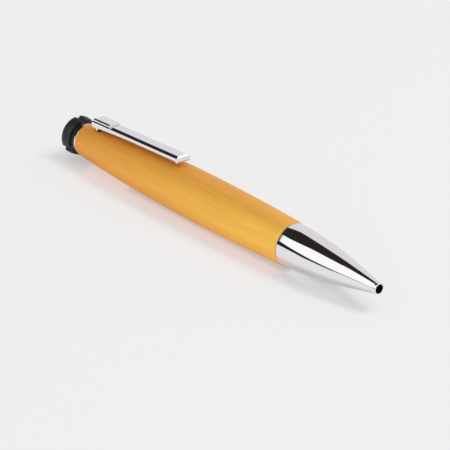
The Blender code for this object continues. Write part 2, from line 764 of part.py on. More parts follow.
def extruded_bmesh(outline, width):
    """Side outline of (x, z) points about the pen's axis, made as wide as this across the pen."""
    bm = bmesh.new()
    near = [bm.verts.new((x, -width / 2, z)) for x, z in outline]
    side = bm.faces.new(near)
    made = bmesh.ops.extrude_face_region(bm, geom=[side])["geom"]
    far = [v for v in made if isinstance(v, bmesh.types.BMVert)]
    bmesh.ops.translate(bm, verts=far, vec=(0, width, 0))
    return bm


def raise_top(bm, face, width, height):
    """Lifts a top face inside a slope of this width all round it."""
    bmesh.ops.inset_region(
        bm,
        faces=[face],
        use_boundary=True,
        use_even_offset=True,
        thickness=width,
        depth=height,
    )


def make_clip(parent):
    """The pieces are drawn about the pen's axis, then moved so that the hinge is their origin."""

    def top(x):
        return blade_under(x) + CLIP_THICKNESS

    def heel(share):
        x = X_CLIP_REAR + share * CLIP_HEEL_LENGTH
        return x, blade_under(x) - CLIP_HEEL * (1 - share) ** 2

    x_lip = X_CLIP_TIP - CLIP_LIP_LENGTH
    blade = [
        (X_CLIP_REAR, top(X_CLIP_REAR)),
        heel(0.0),
        heel(0.25),
        heel(0.5),
        heel(1.0),
        (x_lip, blade_under(x_lip)),
        (x_lip + CLIP_LIP_HEIGHT, blade_under(x_lip) - CLIP_LIP_HEIGHT),
        (X_CLIP_TIP - CLIP_LEAN / 3, blade_under(X_CLIP_TIP) - CLIP_LIP_HEIGHT),
        (X_CLIP_TIP, blade_under(X_CLIP_TIP)),
        (X_CLIP_TIP - CLIP_LEAN, top(X_CLIP_TIP - CLIP_LEAN)),
    ]
    bm = extruded_bmesh(blade, CLIP_WIDTH)
    x_crown = X_CLIP_REAR + 2 * PLATE_INSET + PLATE_LENGTH
    bmesh.ops.bisect_plane(
        bm,
        geom=bm.verts[:] + bm.edges[:] + bm.faces[:],
        plane_co=(x_crown, 0, 0),
        plane_no=(1, 0, 0),
    )
    bmesh.ops.recalc_face_normals(bm, faces=bm.faces)
    tops = [f for f in bm.faces if f.normal.z > 0.9]
    seat = min(tops, key=lambda f: f.calc_center_median().x)
    crown = max(tops, key=lambda f: f.calc_center_median().x)
    raise_top(bm, seat, CLIP_SEAT_WIDTH, CLIP_SEAT_HEIGHT)
    raise_top(bm, crown, CLIP_CROWN_WIDTH, CLIP_CROWN_HEIGHT)
    front = max(v.co.x for v in crown.verts)
    for v in crown.verts:
        if v.co.x > front - CLIP_CROWN_WIDTH:
            v.co.x += CLIP_FRONT_SLOPE
    bmesh.ops.translate(bm, verts=bm.verts, vec=-CLIP_HINGE)
    clip = add("clip", mesh_of("clip", bm), parent)
    inside_blade = blade_under(X_LEG_REAR) + CLIP_THICKNESS / 2
    leg_bottom = Z_SLOT_FLOOR + SLOT_GAP
    inside_leg = leg_bottom + SLOT_GAP
    leg = [
        (X_LEG_REAR, inside_blade),
        (X_LEG_REAR, leg_bottom),
        (X_LEG_FRONT, leg_bottom),
        (X_LEG_FRONT, inside_blade),
    ]
    tongue = [
        (X_LEG_REAR + FIT, inside_leg),
        (X_LEG_REAR + FIT, Z_TOE_LOW),
        (X_LEG_FRONT + TOE_LENGTH, Z_TOE_LOW),
        (X_LEG_FRONT + TOE_LENGTH, Z_TOE_TOP),
        (X_LEG_FRONT - FIT, Z_TOE_TOP),
        (X_LEG_FRONT - FIT, inside_leg),
    ]
    for name, outline, width in (("leg", leg, LEG_WIDTH), ("tongue", tongue, TONGUE_WIDTH)):
        bm = extruded_bmesh(outline, width)
        bmesh.ops.translate(bm, verts=bm.verts, vec=-CLIP_HINGE)
        combine(clip, f"join_{name}", mesh_of(name, bm), "UNION")

    x0 = X_CLIP_REAR + PLATE_INSET
    x1 = x0 + PLATE_LENGTH
    low = CLIP_THICKNESS + CLIP_SEAT_HEIGHT + FIT
    high = low + PLATE_HEIGHT - PLATE_RISE
    outline = [
        (x0, blade_under(x0) + high),
        (x0, blade_under(x0) + low),
        (x1, blade_under(x1) + low),
        (x1, blade_under(x1) + high),
    ]
    bm = extruded_bmesh(outline, CLIP_WIDTH - 2 * PLATE_INSET)
    bmesh.ops.recalc_face_normals(bm, faces=bm.faces)
    raise_top(bm, max(bm.faces, key=lambda f: f.normal.z), PLATE_SLOPE, PLATE_RISE)
    bmesh.ops.translate(bm, verts=bm.verts, vec=-CLIP_HINGE)
    add("clip_plate", mesh_of("clip_plate", bm), parent)


def main():
    for old in list(bpy.data.objects):
        bpy.data.objects.remove(old, do_unlink=True)
    axis = Vector((0, 0, AXIS_Z))
    body_axis = empty("pen_axis", axis)
    knob_axis = empty("knob_twist_axis", axis)
    refill_axis = empty("refill_slide_axis", axis)
    ball_centre = empty("ball_centre", axis + Vector((X_BALL, 0, 0)))
    clip_axis = empty("clip_hinge_axis", axis + CLIP_HINGE)

    make_barrel(body_axis)
    make_nose(body_axis)
    make_rear_trim(body_axis)
    make_fixed_mechanism(body_axis)
    make_spring(body_axis)
    make_knob(knob_axis)
    make_cam(knob_axis)
    make_drive(refill_axis)
    make_refill(refill_axis)
    make_ball(ball_centre)
    make_clip(clip_axis)
    print(f"length {TOTAL_LENGTH / MM:.1f} mm, refill {(X_BALL_TIP - X_REFILL_REAR) / MM:.1f} mm")
    for name, place in (("knob end face", X_KNOB_REAR), ("tip face", X_TIP)):
        print(f"{name} at x {place:.6f} m")
    print(f"axis z {AXIS_Z:.6f} m, ball centre x {X_BALL:.6f} m")
    hinge = axis + CLIP_HINGE
    print(f"clip hinge x {hinge.x:.6f}, z {hinge.z:.6f} m; spring seat x {X_SPRING_SEAT:.6f} m")


main()
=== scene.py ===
# %% [markdown]
# # A twist ballpoint pen, dressed for a studio picture
# The pen is a turned amber barrel with a polished nose cone in front and a notched black knob
# behind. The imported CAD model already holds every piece, its place and its joints. This lesson
# keeps that frame, makes smooth versions of the pieces that show, and gives each one a finish.
# The first step loads the frame and keeps its box, so that the last step can compare sizes.

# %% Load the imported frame
import json
import math

import bmesh
import bpy
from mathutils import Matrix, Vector


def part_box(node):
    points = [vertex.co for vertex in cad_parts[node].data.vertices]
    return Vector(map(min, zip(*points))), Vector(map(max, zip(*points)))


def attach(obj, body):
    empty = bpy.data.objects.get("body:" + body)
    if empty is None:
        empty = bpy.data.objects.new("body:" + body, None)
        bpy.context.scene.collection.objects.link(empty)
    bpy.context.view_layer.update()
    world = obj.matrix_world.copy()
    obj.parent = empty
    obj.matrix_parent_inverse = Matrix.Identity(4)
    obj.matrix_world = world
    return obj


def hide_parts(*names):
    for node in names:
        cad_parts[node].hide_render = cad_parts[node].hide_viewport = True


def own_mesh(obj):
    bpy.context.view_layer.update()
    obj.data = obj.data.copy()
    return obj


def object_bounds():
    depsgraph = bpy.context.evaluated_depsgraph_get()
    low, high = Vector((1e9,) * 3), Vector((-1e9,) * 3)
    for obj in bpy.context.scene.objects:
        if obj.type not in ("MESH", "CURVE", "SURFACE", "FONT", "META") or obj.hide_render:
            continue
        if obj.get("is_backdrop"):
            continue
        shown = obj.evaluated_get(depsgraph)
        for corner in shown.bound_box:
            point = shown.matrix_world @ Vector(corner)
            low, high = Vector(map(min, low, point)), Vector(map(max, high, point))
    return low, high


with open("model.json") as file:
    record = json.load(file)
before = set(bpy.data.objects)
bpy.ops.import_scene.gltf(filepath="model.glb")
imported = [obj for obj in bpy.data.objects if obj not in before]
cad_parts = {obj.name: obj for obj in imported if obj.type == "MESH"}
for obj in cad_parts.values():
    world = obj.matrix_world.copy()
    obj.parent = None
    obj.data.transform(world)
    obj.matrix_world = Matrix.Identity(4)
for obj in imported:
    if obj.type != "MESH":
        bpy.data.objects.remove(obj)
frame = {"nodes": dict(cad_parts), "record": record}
cad_box = [list(corner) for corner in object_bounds()]
bpy.context.scene.view_settings.view_transform = "Standard"
print(f"{len(frame['nodes'])} CAD nodes in a box from {cad_box[0]} to {cad_box[1]}")

# %% [markdown]
# ## Where things are
# Everything on the pen is turned about one axis, so a piece is described by stations along X
# and a radius at each. The stations come from the boxes of the CAD nodes. The radii of the
# barrel and the nose follow the same two curves as the CAD source: the barrel is two parabolas
# that meet at the belly, and the nose bends down from the barrel's slope into a straight cone.

# %% Stations along the pen
MM = 0.001
SEAM = 0.1 * MM
knob_low, knob_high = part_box("knob_grip")
ring_low, ring_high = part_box("trim_ring")
barrel_low, barrel_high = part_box("barrel")
nose_low, nose_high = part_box("nose_cone")
X_KNOB_REAR, X_KNOB_FRONT = knob_low.x, knob_high.x
X_BARREL_REAR, X_BARREL_FRONT = barrel_low.x, barrel_high.x
X_NOSE_REAR, X_TIP = X_BARREL_FRONT + SEAM, nose_high.x
AXIS_Z = (nose_low.z + nose_high.z) / 2
AXIS = Vector((0, 0, AXIS_Z))
print(f"axis at z {AXIS_Z / MM:.3f} mm, barrel {X_BARREL_REAR / MM:.1f} to {X_BARREL_FRONT / MM:.1f} mm")

# %% Outlines of the barrel and the nose
BARREL_REAR_R, BELLY_R, BARREL_FRONT_R = 5.12 * MM, 7.0 * MM, 6.12 * MM
BELLY_FROM_REAR = 52.7 * MM
X_BELLY = X_BARREL_REAR + BELLY_FROM_REAR
TIP_R, NOSE_CONE_LENGTH, NOSE_REAR_SLOPE = 1.47 * MM, 11.8 * MM, 0.03


def barrel_radius(x):
    end_x, end_r = (X_BARREL_REAR, BARREL_REAR_R) if x < X_BELLY else (X_BARREL_FRONT, BARREL_FRONT_R)
    return BELLY_R - (BELLY_R - end_r) * ((x - X_BELLY) / (end_x - X_BELLY)) ** 2


def nose_radius(x):
    along, curve = x - X_NOSE_REAR, X_TIP - X_NOSE_REAR - NOSE_CONE_LENGTH
    fall = BARREL_FRONT_R - TIP_R - NOSE_REAR_SLOPE * curve / 2
    cone_slope = fall / (curve / 2 + NOSE_CONE_LENGTH)
    bend = min(along, curve)
    bent = NOSE_REAR_SLOPE * bend + (cone_slope - NOSE_REAR_SLOPE) * bend**2 / (2 * curve)
    return BARREL_FRONT_R - bent - cone_slope * max(along - curve, 0)


def spread(start, stop, count):
    return [start + (stop - start) * i / (count - 1) for i in range(count)]


print(f"belly {2 * BELLY_R / MM:.1f} mm across, nose tip {2 * nose_radius(X_TIP) / MM:.2f} mm across")

# %% [markdown]
# ## The camera
# The photograph looks along the pen from its point, a little from above, through a long lens,
# so the near end is hardly larger than the far one. A perspective camera with the same lens
# repeats that; an orthographic one would lose what little the pen tapers towards its knob.
# The pen sits above and left of the middle of the picture, which a small shift gives.

# %% Camera
camera_data = bpy.data.cameras.new("photo_camera")
camera_data.sensor_width = 36.0
camera_data.lens = 181.4
camera_data.shift_x, camera_data.shift_y = 0.0093, -0.0384
camera = bpy.data.objects.new("photo_camera", camera_data)
bpy.context.scene.collection.objects.link(camera)
bpy.context.scene.camera = camera
AIM_FORWARD = 1.76 * MM
aim = AXIS + Vector((AIM_FORWARD, 0, 0))
AZIMUTH, ELEVATION, DISTANCE = math.radians(51.5), math.radians(24.1), 617.6 * MM
towards_camera = Vector(
    (
        math.sin(AZIMUTH) * math.cos(ELEVATION),
        -math.cos(AZIMUTH) * math.cos(ELEVATION),
        math.sin(ELEVATION),
    )
)
camera.location = aim + towards_camera * DISTANCE
camera.rotation_euler = (-towards_camera).to_track_quat("-Z", "Y").to_euler()
camera_data.clip_start, camera_data.clip_end = 0.01, 20.0
print(f"camera {DISTANCE:.3f} m from the pen, lens {camera_data.lens} mm")

# %% [markdown]
# ## Colours and nodes
# A colour is written as the sRGB hex value that a paint program shows, and Blender's shaders
# take linear light, so one function converts. One more function adds a shader node with its
# settings and links, and every material below is a short list of such calls.

# %% Helpers for colours and nodes


def hex_colour(code):
    parts = [int(code[i : i + 2], 16) / 255 for i in (1, 3, 5)]
    return tuple(c / 12.92 if c <= 0.04045 else ((c + 0.055) / 1.055) ** 2.4 for c in parts) + (1.0,)


def node(tree, kind, inputs=(), **settings):
    made = tree.nodes.new(kind)
    for name, value in settings.items():
        setattr(made, name, value)
    for socket, value in dict(inputs).items():
        if isinstance(value, bpy.types.NodeSocket):
            tree.links.new(value, made.inputs[socket])
        else:
            made.inputs[socket].default_value = value
    return made


def new_material(name):
    material = bpy.data.materials.new(name)
    material.use_nodes = True
    tree = material.node_tree
    shader = tree.nodes["Principled BSDF"]
    return material, tree, shader


print("mid grey #808080 is", round(hex_colour("#808080")[0], 3), "in linear light")

# %% [markdown]
# ## Studio light
# The pen lies in a light tent: a pale room with soft light from everywhere and a large lamp
# above. The world gives that even light. What polished metal mirrors is a room too, so the
# world shows a pale grey wall to mirror rays and to the camera, at the brightness of a wall
# and not of a lamp. A lamp is a soft disc that faces the pen and that mirrors don't show.

# %% World and lamp


def seen_or_mirrored(tree):
    path = node(tree, "ShaderNodeLightPath").outputs
    mirrored = {0: path["Is Glossy Ray"], 1: path["Is Transmission Ray"]}
    either = node(tree, "ShaderNodeMath", mirrored, operation="MAXIMUM")
    seen = {0: path["Is Camera Ray"], 1: either.outputs[0]}
    return node(tree, "ShaderNodeMath", seen, operation="MAXIMUM").outputs[0]


world = bpy.data.worlds.new("light_tent")
bpy.context.scene.world = world
world.use_nodes = True
tree = world.node_tree
tree.nodes.clear()
soft_light = node(tree, "ShaderNodeBackground", {"Color": hex_colour("#ffffff"), "Strength": 0.84})
seen_wall = node(tree, "ShaderNodeBackground", {"Color": hex_colour("#e6e2e5"), "Strength": 1.0})
mixed = {0: seen_or_mirrored(tree), 1: soft_light.outputs[0], 2: seen_wall.outputs[0]}
shown = node(tree, "ShaderNodeMixShader", mixed)
node(tree, "ShaderNodeOutputWorld", {"Surface": shown.outputs[0]})


def disc_lamp(name, across, watts, place):
    data = bpy.data.lights.new(name, "AREA")
    data.shape, data.size, data.energy = "DISK", across, watts
    made = bpy.data.objects.new(name, data)
    bpy.context.scene.collection.objects.link(made)
    made.location = place
    made.rotation_euler = Vector(place).to_track_quat("Z", "Y").to_euler()
    made.visible_glossy = False
    print(f"{name}: {across} m across, {watts} W")
    return made


disc_lamp("tent_lamp", across=0.9, watts=2.5, place=(0.25, 0.1, 1.1))

# %% [markdown]
# ## Light thrown by the pen
# Satin metal throws some of its light down as a warm glow on the board beside it, and polished
# metal throws it down white. The light bounced by the pen gives part of that here, but less
# than the picture shows, so dim strips of light under the pen add the rest: amber ones along
# the barrel's front side and under its rear end, and a white one under the nose. They shine
# away from the pen, and nothing mirrors them.

# %% Glow under the pen
STRIP_WIDTH = 3.4 * MM


def glow_strip(name, code, watts, middle, length, lean, rise=0):
    data = bpy.data.lights.new(name, "AREA")
    data.shape, data.size, data.size_y = "RECTANGLE", length, STRIP_WIDTH
    data.color, data.energy = hex_colour(code)[:3], watts
    strip = bpy.data.objects.new(name, data)
    bpy.context.scene.collection.objects.link(strip)
    strip.location = middle
    strip.rotation_euler = (math.radians(-lean), math.radians(-rise), 0)
    strip.visible_camera = strip.visible_glossy = False
    print(f"{name}: {length / MM:.0f} mm long, {watts} W")


glow_strip("barrel_glow", "#ff957c", 0.00085, Vector((-11, -5.1, 1.65)) * MM, 88 * MM, 45)
glow_strip("rear_glow", "#ffc4b0", 0.00012, Vector((-47, -2.0, 0.6)) * MM, 20 * MM, 0, -2)
glow_strip("nose_glow", "#f6f2f8", 0.0001, Vector((43, -2.0, 1.4)) * MM, 20 * MM, 0, 7)

# %% [markdown]
# ## The floor
# The pen lies on a sheet of matt white board. A board has a little fibre in it, so its colour
# wanders by one or two parts in a hundred. The colour is written as a light grey, because a
# lamp of the board's own, in the next step, lights it as well as the tent does. It is one
# square of mesh, far larger than the picture. In a light tent the board also glows from the
# light that comes through it, which thins the shadow. For the camera, half of the board's
# colour is that even glow, and the rest is lit and shadowed as usual. Mirrors and glass see
# the glow too, at a smaller share, set by how dark the nose's underside is in the picture.

# %% Floor
FIBRE, FLOOR_HALF, FLOOR_DROP = 2.5 * MM, 3.0, 0.01 * MM
BOARD_GLOW, MIRRORED_GLOW = 0.5, 0.27
board, tree, shader = new_material("matt_white_board")
place = node(tree, "ShaderNodeTexCoord").outputs["Object"]
fibre = node(tree, "ShaderNodeTexNoise", {"Vector": place, "Scale": 1 / FIBRE, "Detail": 4.0})
tone = node(
    tree,
    "ShaderNodeMix",
    {0: fibre.outputs[0], 6: hex_colour("#c8c7c8"), 7: hex_colour("#cbcacb")},
    data_type="RGBA",
)
tree.links.new(tone.outputs[2], shader.inputs["Base Color"])
shader.inputs["Roughness"].default_value = 0.85
shader.inputs["Specular IOR Level"].default_value = 0.2
glow = node(tree, "ShaderNodeEmission", {"Color": hex_colour("#efefef"), "Strength": 1.0})
by_camera = node(tree, "ShaderNodeLightPath").outputs["Is Camera Ray"]
more_seen = {0: by_camera, 1: BOARD_GLOW - MIRRORED_GLOW, 2: MIRRORED_GLOW}
strength = node(tree, "ShaderNodeMath", more_seen, operation="MULTIPLY_ADD")
share = {0: seen_or_mirrored(tree), 1: strength.outputs[0]}
glow_share = node(tree, "ShaderNodeMath", share, operation="MULTIPLY")
halves = {0: glow_share.outputs[0], 1: shader.outputs[0], 2: glow.outputs[0]}
lit = node(tree, "ShaderNodeMixShader", halves)
tree.links.new(lit.outputs[0], tree.nodes["Material Output"].inputs["Surface"])
bm = bmesh.new()
bmesh.ops.create_grid(bm, x_segments=1, y_segments=1, size=FLOOR_HALF)
bmesh.ops.translate(bm, verts=bm.verts, vec=(0, 0, -FLOOR_DROP))
floor_mesh = bpy.data.meshes.new("floor")
bm.to_mesh(floor_mesh)
bm.free()
floor_mesh.materials.append(board)
floor = bpy.data.objects.new("floor", floor_mesh)
bpy.context.scene.collection.objects.link(floor)
floor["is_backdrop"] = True
print(f"floor {2 * FLOOR_HALF} m square at z {floor.data.vertices[0].co.z / MM:.3f} mm")

# %% [markdown]
# ## The board's lamp
# A second lamp, high behind the pen on the point's side, gives the soft shadow that runs down
# the pen's front side. It lights the board alone, through Blender's light linking, so that
# the pen keeps the plain level of the tent, but the pen still stands in its way.

# %% Lamp for the board
side_lamp = disc_lamp("board_lamp", across=1.0, watts=37.0, place=(1.2, 0.9, 2.2))
board_only = bpy.data.collections.new("board_only")
board_only.objects.link(floor)
side_lamp.light_linking.receiver_collection = board_only

# %% [markdown]
# ## Cards for the polished metal
# Polished chrome has no colour of its own: it shows what stands round it. A photographer sets
# cards beside a shiny object for that. Here two dark cards hang above, one for the nose and
# one past the rear end for the clip. A white one stands in front, with a dark strip and a
# short dark card before it. Past the rear end it goes on in beige, with a dark card before
# it, and a second white one stands behind, towards the point. They run along the pen, so that
# each becomes a clean stripe on the nose and the clip, and their edges slant as the stripes
# do. Only mirror rays see the cards, so they take no light away from the rest. A card is given
# by rows: a station along the pen, and the angles that it covers there as seen from the pen,
# from level behind the pen (0 degrees) over the top (90) to level in front (180).

# %% Cards
DARK_CARD, WHITE_CARD, WHITE_STRENGTH = "#2a2523", "#ffffff", 1.1


def card(name, rows, code, strength=1.0, away=0.5):
    material = bpy.data.materials.new(name)
    material.use_nodes = True
    tree = material.node_tree
    tree.nodes.clear()
    glow = node(tree, "ShaderNodeEmission", {"Color": hex_colour(code), "Strength": strength})
    node(tree, "ShaderNodeOutputMaterial", {"Surface": glow.outputs[0]})
    bm = bmesh.new()
    bmesh.ops.create_grid(bm, x_segments=len(rows) - 1, y_segments=12, size=1.0)
    for v in bm.verts:
        x, start, stop = rows[round((v.co.x + 1) / 2 * (len(rows) - 1))]
        angle = math.radians(start + (stop - start) * (v.co.y + 1) / 2)
        v.co = AXIS + Vector((x, away * math.cos(angle), away * math.sin(angle)))
    mesh = bpy.data.meshes.new(name)
    bm.to_mesh(mesh)
    bm.free()
    mesh.materials.append(material)
    made = bpy.data.objects.new(name, mesh)
    bpy.context.scene.collection.objects.link(made)
    made.visible_camera = made.visible_diffuse = made.visible_shadow = False
    made.visible_transmission = made.visible_volume_scatter = False
    made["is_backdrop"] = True
    print(f"{name}: {len(rows)} rows from x {rows[0][0]} to {rows[-1][0]} m")


card("clip_card", [(-2.0, 66, 116), (-0.495, 66, 116)], DARK_CARD, away=0.49)
card(
    "nose_card",
    [
        (-0.4, 86, 121),
        (-0.37, 73, 124),
        (-0.341, 67, 126.5),
        (-0.289, 69.7, 124.5),
        (-0.235, 72, 120.3),
        (-0.185, 71.5, 118.9),
        (-0.138, 68, 115),
        (-0.125, 62, 104),
        (0.3, 62, 100),
    ],
    DARK_CARD,
    away=0.49,
)
card("rim_card", [(-0.44, 116, 164), (-0.366, 116, 164)], DARK_CARD, away=0.485)
card("white_card", [(-0.51, 100, 180), (1.2, 100, 180)], WHITE_CARD, WHITE_STRENGTH)
card("far_card", [(-2.0, 100, 180), (-0.51, 100, 180)], "#c8beb4")
card("far_dark_card", [(-2.0, 95, 165), (-0.55, 95, 165)], "#2a2725", away=0.47)
card("end_card", [(0.0, 30, 64), (0.8, 30, 64)], WHITE_CARD, WHITE_STRENGTH)
card(
    "dark_strip",
    [
        (-0.43, 150, 176),
        (-0.4, 154, 177),
        (-0.337, 160.8, 177.4),
        (-0.297, 164.9, 178),
        (-0.254, 168.7, 180.4),
        (-0.209, 171.4, 180.4),
        (-0.162, 172.7, 180.4),
        (-0.129, 173, 178),
        (-0.1, 173.5, 175),
    ],
    "#202024",
    away=0.48,
)

# %% [markdown]
# ## Satin amber: dyed, anodised aluminium
# The barrel is aluminium, brushed along its length and then anodised with an amber dye. The
# eye gets a warm metal colour, a soft wide sheen instead of a mirror, and faint streaks along
# the pen. Real brush lines are about 0.05 mm wide, too fine for this picture, so they are
# drawn 0.3 mm wide and 14 mm long, with a broader wander of tone under them. The dye layer
# scatters some light by itself, so the metal is not a full one. The colour is darker towards
# the rear and on the upper far side than in front. On the upper far side it is darker still,
# which is painted shade: it stands in for the dim room that the top mirrors and for the shade
# under the clip. That is taken for a dye bath in which one side hung lowest and took deeper,
# which is a guess, as the lighting could do some of it.

# %% Satin amber material
SHADED_SIDE_TILT = math.radians(60)
STREAK_LENGTH, STREAK_WIDTH = 14 * MM, 0.3 * MM
WANDER_LENGTH, WANDER_WIDTH = 30 * MM, 2 * MM
amber, tree, shader = new_material("amber_anodised_aluminium")
place = node(tree, "ShaderNodeTexCoord").outputs["Object"]
fine = (1 / STREAK_LENGTH, 1 / STREAK_WIDTH, 1 / STREAK_WIDTH)
along_pen = node(tree, "ShaderNodeMapping", {"Vector": place, "Scale": fine})
streaks = node(tree, "ShaderNodeTexNoise", {"Vector": along_pen.outputs[0], "Scale": 1.0, "Detail": 3.0})
coarse = (1 / WANDER_LENGTH, 1 / WANDER_WIDTH, 1 / WANDER_WIDTH)
broad_map = node(tree, "ShaderNodeMapping", {"Vector": place, "Scale": coarse})
broad = node(tree, "ShaderNodeTexNoise", {"Vector": broad_map.outputs[0], "Scale": 1.0, "Detail": 1.0})
share = {0: broad.outputs[0], 1: 0.5, 2: streaks.outputs[0]}
both = node(tree, "ShaderNodeMath", share, operation="MULTIPLY_ADD")
lightness = node(tree, "ShaderNodeMapRange", {0: both.outputs[0], 1: 0.5, 2: 1.0, 3: 0.93, 4: 1.07})
station = node(tree, "ShaderNodeSeparateXYZ", {0: place}).outputs["X"]
forward = node(tree, "ShaderNodeMapRange", {0: station, 1: X_BARREL_REAR, 2: X_BARREL_FRONT})
# Both pairs of colours run from the rear to the front, darker towards the rear. The second pair is painted
# shade.
unshaded_amber, painted_shade_amber = (
    node(
        tree,
        "ShaderNodeMix",
        {0: forward.outputs[0], 6: hex_colour(rear), 7: hex_colour(front)},
        data_type="RGBA",
    )
    for rear, front in (("#eea439", "#fdc64f"), ("#d98520", "#f6b145"))
)
# Painted shade: the darker second colour is mixed in towards the upper far side, for the dim room that the
# top mirrors and the shade under the clip.
towards_shaded_side = {0: place, 1: Vector((0, math.cos(SHADED_SIDE_TILT), math.sin(SHADED_SIDE_TILT)))}
height = node(tree, "ShaderNodeVectorMath", towards_shaded_side, operation="DOT_PRODUCT").outputs["Value"]
middle = AXIS_Z * math.sin(SHADED_SIDE_TILT)
depth = node(tree, "ShaderNodeMapRange", {0: height, 1: middle + 0.1 * BELLY_R, 2: middle + 0.9 * BELLY_R})
amber_and_painted_shade = node(
    tree,
    "ShaderNodeMix",
    {0: depth.outputs[0], 6: unshaded_amber.outputs[2], 7: painted_shade_amber.outputs[2]},
    data_type="RGBA",
)
tone = node(tree, "ShaderNodeHueSaturation", {"Color": amber_and_painted_shade.outputs[2], "Value": lightness.outputs[0]})
gloss = node(tree, "ShaderNodeMapRange", {0: streaks.outputs[0], 1: 0.3, 2: 0.7, 3: 0.42, 4: 0.54})
relief = node(
    tree, "ShaderNodeBump", {"Height": streaks.outputs[0], "Strength": 0.12, "Distance": 0.02 * MM}
)
tree.links.new(tone.outputs[0], shader.inputs["Base Color"])
tree.links.new(gloss.outputs[0], shader.inputs["Roughness"])
tree.links.new(relief.outputs[0], shader.inputs["Normal"])
shader.inputs["Metallic"].default_value = 0.42
print("made", amber.name)

# %% [markdown]
# ## Chrome plate
# The nose, the trim ring and the clip are brass, polished and chrome plated. Chrome mirrors
# about two thirds of the light with hardly any tint, and is drawn lighter here, at 0.85 to
# 0.9, to match the picture. What tells it from a perfect mirror is wiping: hair-fine
# scratches that blur it a little in patches, drawn as roughness that wanders over some 3 mm.

# %% Chrome material
WIPED_PATCH = 3 * MM
chrome, tree, shader = new_material("polished_chrome_plate")
place = node(tree, "ShaderNodeTexCoord").outputs["Object"]
wiped = node(tree, "ShaderNodeTexNoise", {"Vector": place, "Scale": 1 / WIPED_PATCH, "Detail": 5.0})
haze = node(tree, "ShaderNodeMapRange", {0: wiped.outputs[0], 1: 0.35, 2: 0.7, 3: 0.03, 4: 0.08})
tint = node(
    tree,
    "ShaderNodeMix",
    {0: wiped.outputs[0], 6: hex_colour("#edebee"), 7: hex_colour("#f3f2f4")},
    data_type="RGBA",
)
tree.links.new(tint.outputs[2], shader.inputs["Base Color"])
tree.links.new(haze.outputs[0], shader.inputs["Roughness"])
shader.inputs["Metallic"].default_value = 1.0
print("made", chrome.name)

# %% [markdown]
# ## Black mouldings
# The knob's grip is moulded in black ABS from a spark-eroded mould, which leaves a fine grit
# of about 0.05 mm, drawn at 0.15 mm so that it shows. It gives a low, grey sheen. The disc
# in its end comes from a smoother mould, with slow waves instead of grit, and shines more.

# %% Black plastics


def black_moulding(name, grain, roughness, depth):
    material, tree, shader = new_material(name)
    place = node(tree, "ShaderNodeTexCoord").outputs["Object"]
    grit = node(tree, "ShaderNodeTexNoise", {"Vector": place, "Scale": 1 / grain, "Detail": 2.0})
    tone = node(
        tree,
        "ShaderNodeMix",
        {0: grit.outputs[0], 6: hex_colour("#070607"), 7: hex_colour("#100f10")},
        data_type="RGBA",
    )
    gloss = node(
        tree,
        "ShaderNodeMapRange",
        {0: grit.outputs[0], 1: 0.3, 2: 0.7, 3: roughness - 0.05, 4: roughness + 0.05},
    )
    relief = node(tree, "ShaderNodeBump", {"Height": grit.outputs[0], "Strength": 0.3, "Distance": depth})
    tree.links.new(tone.outputs[2], shader.inputs["Base Color"])
    tree.links.new(gloss.outputs[0], shader.inputs["Roughness"])
    tree.links.new(relief.outputs[0], shader.inputs["Normal"])
    shader.inputs["IOR"].default_value = 1.53
    print("made", name)
    return material


grip_black = black_moulding("black_abs_fine_grit", 0.15 * MM, 0.42, 0.02 * MM)
cap_black = black_moulding("black_abs_gloss", 1.5 * MM, 0.22, 0.004 * MM)

# %% [markdown]
# ## Metals inside
# The bushings and tubes are turned or drawn. Turning leaves rings round the pen and drawing
# leaves lines along it, so one recipe does for all of them: a noise stretched one way or the
# other, which moves the tone and the roughness. Turning marks are drawn 0.12 mm apart.

# %% Brass, steel and nickel silver
GROOVE_DEPTH = 0.01 * MM


def worked_metal(name, dark, light, grain, roughness):
    material, tree, shader = new_material(name)
    place = node(tree, "ShaderNodeTexCoord").outputs["Object"]
    scale = tuple(1 / size for size in grain)
    stretched = node(tree, "ShaderNodeMapping", {"Vector": place, "Scale": scale})
    marks = node(tree, "ShaderNodeTexNoise", {"Vector": stretched.outputs[0], "Scale": 1.0, "Detail": 2.0})
    tone = node(
        tree,
        "ShaderNodeMix",
        {0: marks.outputs[0], 6: hex_colour(dark), 7: hex_colour(light)},
        data_type="RGBA",
    )
    gloss = node(
        tree,
        "ShaderNodeMapRange",
        {0: marks.outputs[0], 1: 0.3, 2: 0.7, 3: roughness - 0.06, 4: roughness + 0.06},
    )
    grooves = {"Height": marks.outputs[0], "Strength": 0.15, "Distance": GROOVE_DEPTH}
    relief = node(tree, "ShaderNodeBump", grooves)
    tree.links.new(tone.outputs[2], shader.inputs["Base Color"])
    tree.links.new(gloss.outputs[0], shader.inputs["Roughness"])
    tree.links.new(relief.outputs[0], shader.inputs["Normal"])
    shader.inputs["Metallic"].default_value = 1.0
    print("made", name)
    return material


TURNED_GRAIN = (0.12 * MM, 20 * MM, 20 * MM)
DRAWN_GRAIN = (8 * MM, 0.15 * MM, 0.15 * MM)
brass = worked_metal("turned_brass", "#d8b25e", "#e6c476", TURNED_GRAIN, 0.28)
steel = worked_metal("bright_drawn_steel", "#c2c2c4", "#d2d2d4", DRAWN_GRAIN, 0.22)
nickel_silver = worked_metal("turned_nickel_silver", "#cbc3b4", "#dad3c6", TURNED_GRAIN, 0.2)

# %% [markdown]
# ## The bare bore
# The wall of the nose's hole and the step of the seam behind the nose are drawn in an almost
# black brown metal. It is painted shade, for the deep hole and the narrow seam. The wall of the nose's
# hole stays bare brass that
# has gone brown, and grease from the refill dulls it, so the eye gets an almost black hole.

# %% Painted shade for the bore and the seam
painted_shade_brown = worked_metal("painted_shade_dark_brown", "#2a1d14", "#3a2a1e", TURNED_GRAIN, 0.6)

# %% [markdown]
# ## Acetal, rubber and ink inside
# The cam and the slider are moulded in white acetal, a waxy plastic with a soft sheen. The
# friction ring is rubber, dull and faintly mottled. The ink is a thick blue-black paste with
# a wet shine.

# %% Inner plastics and ink


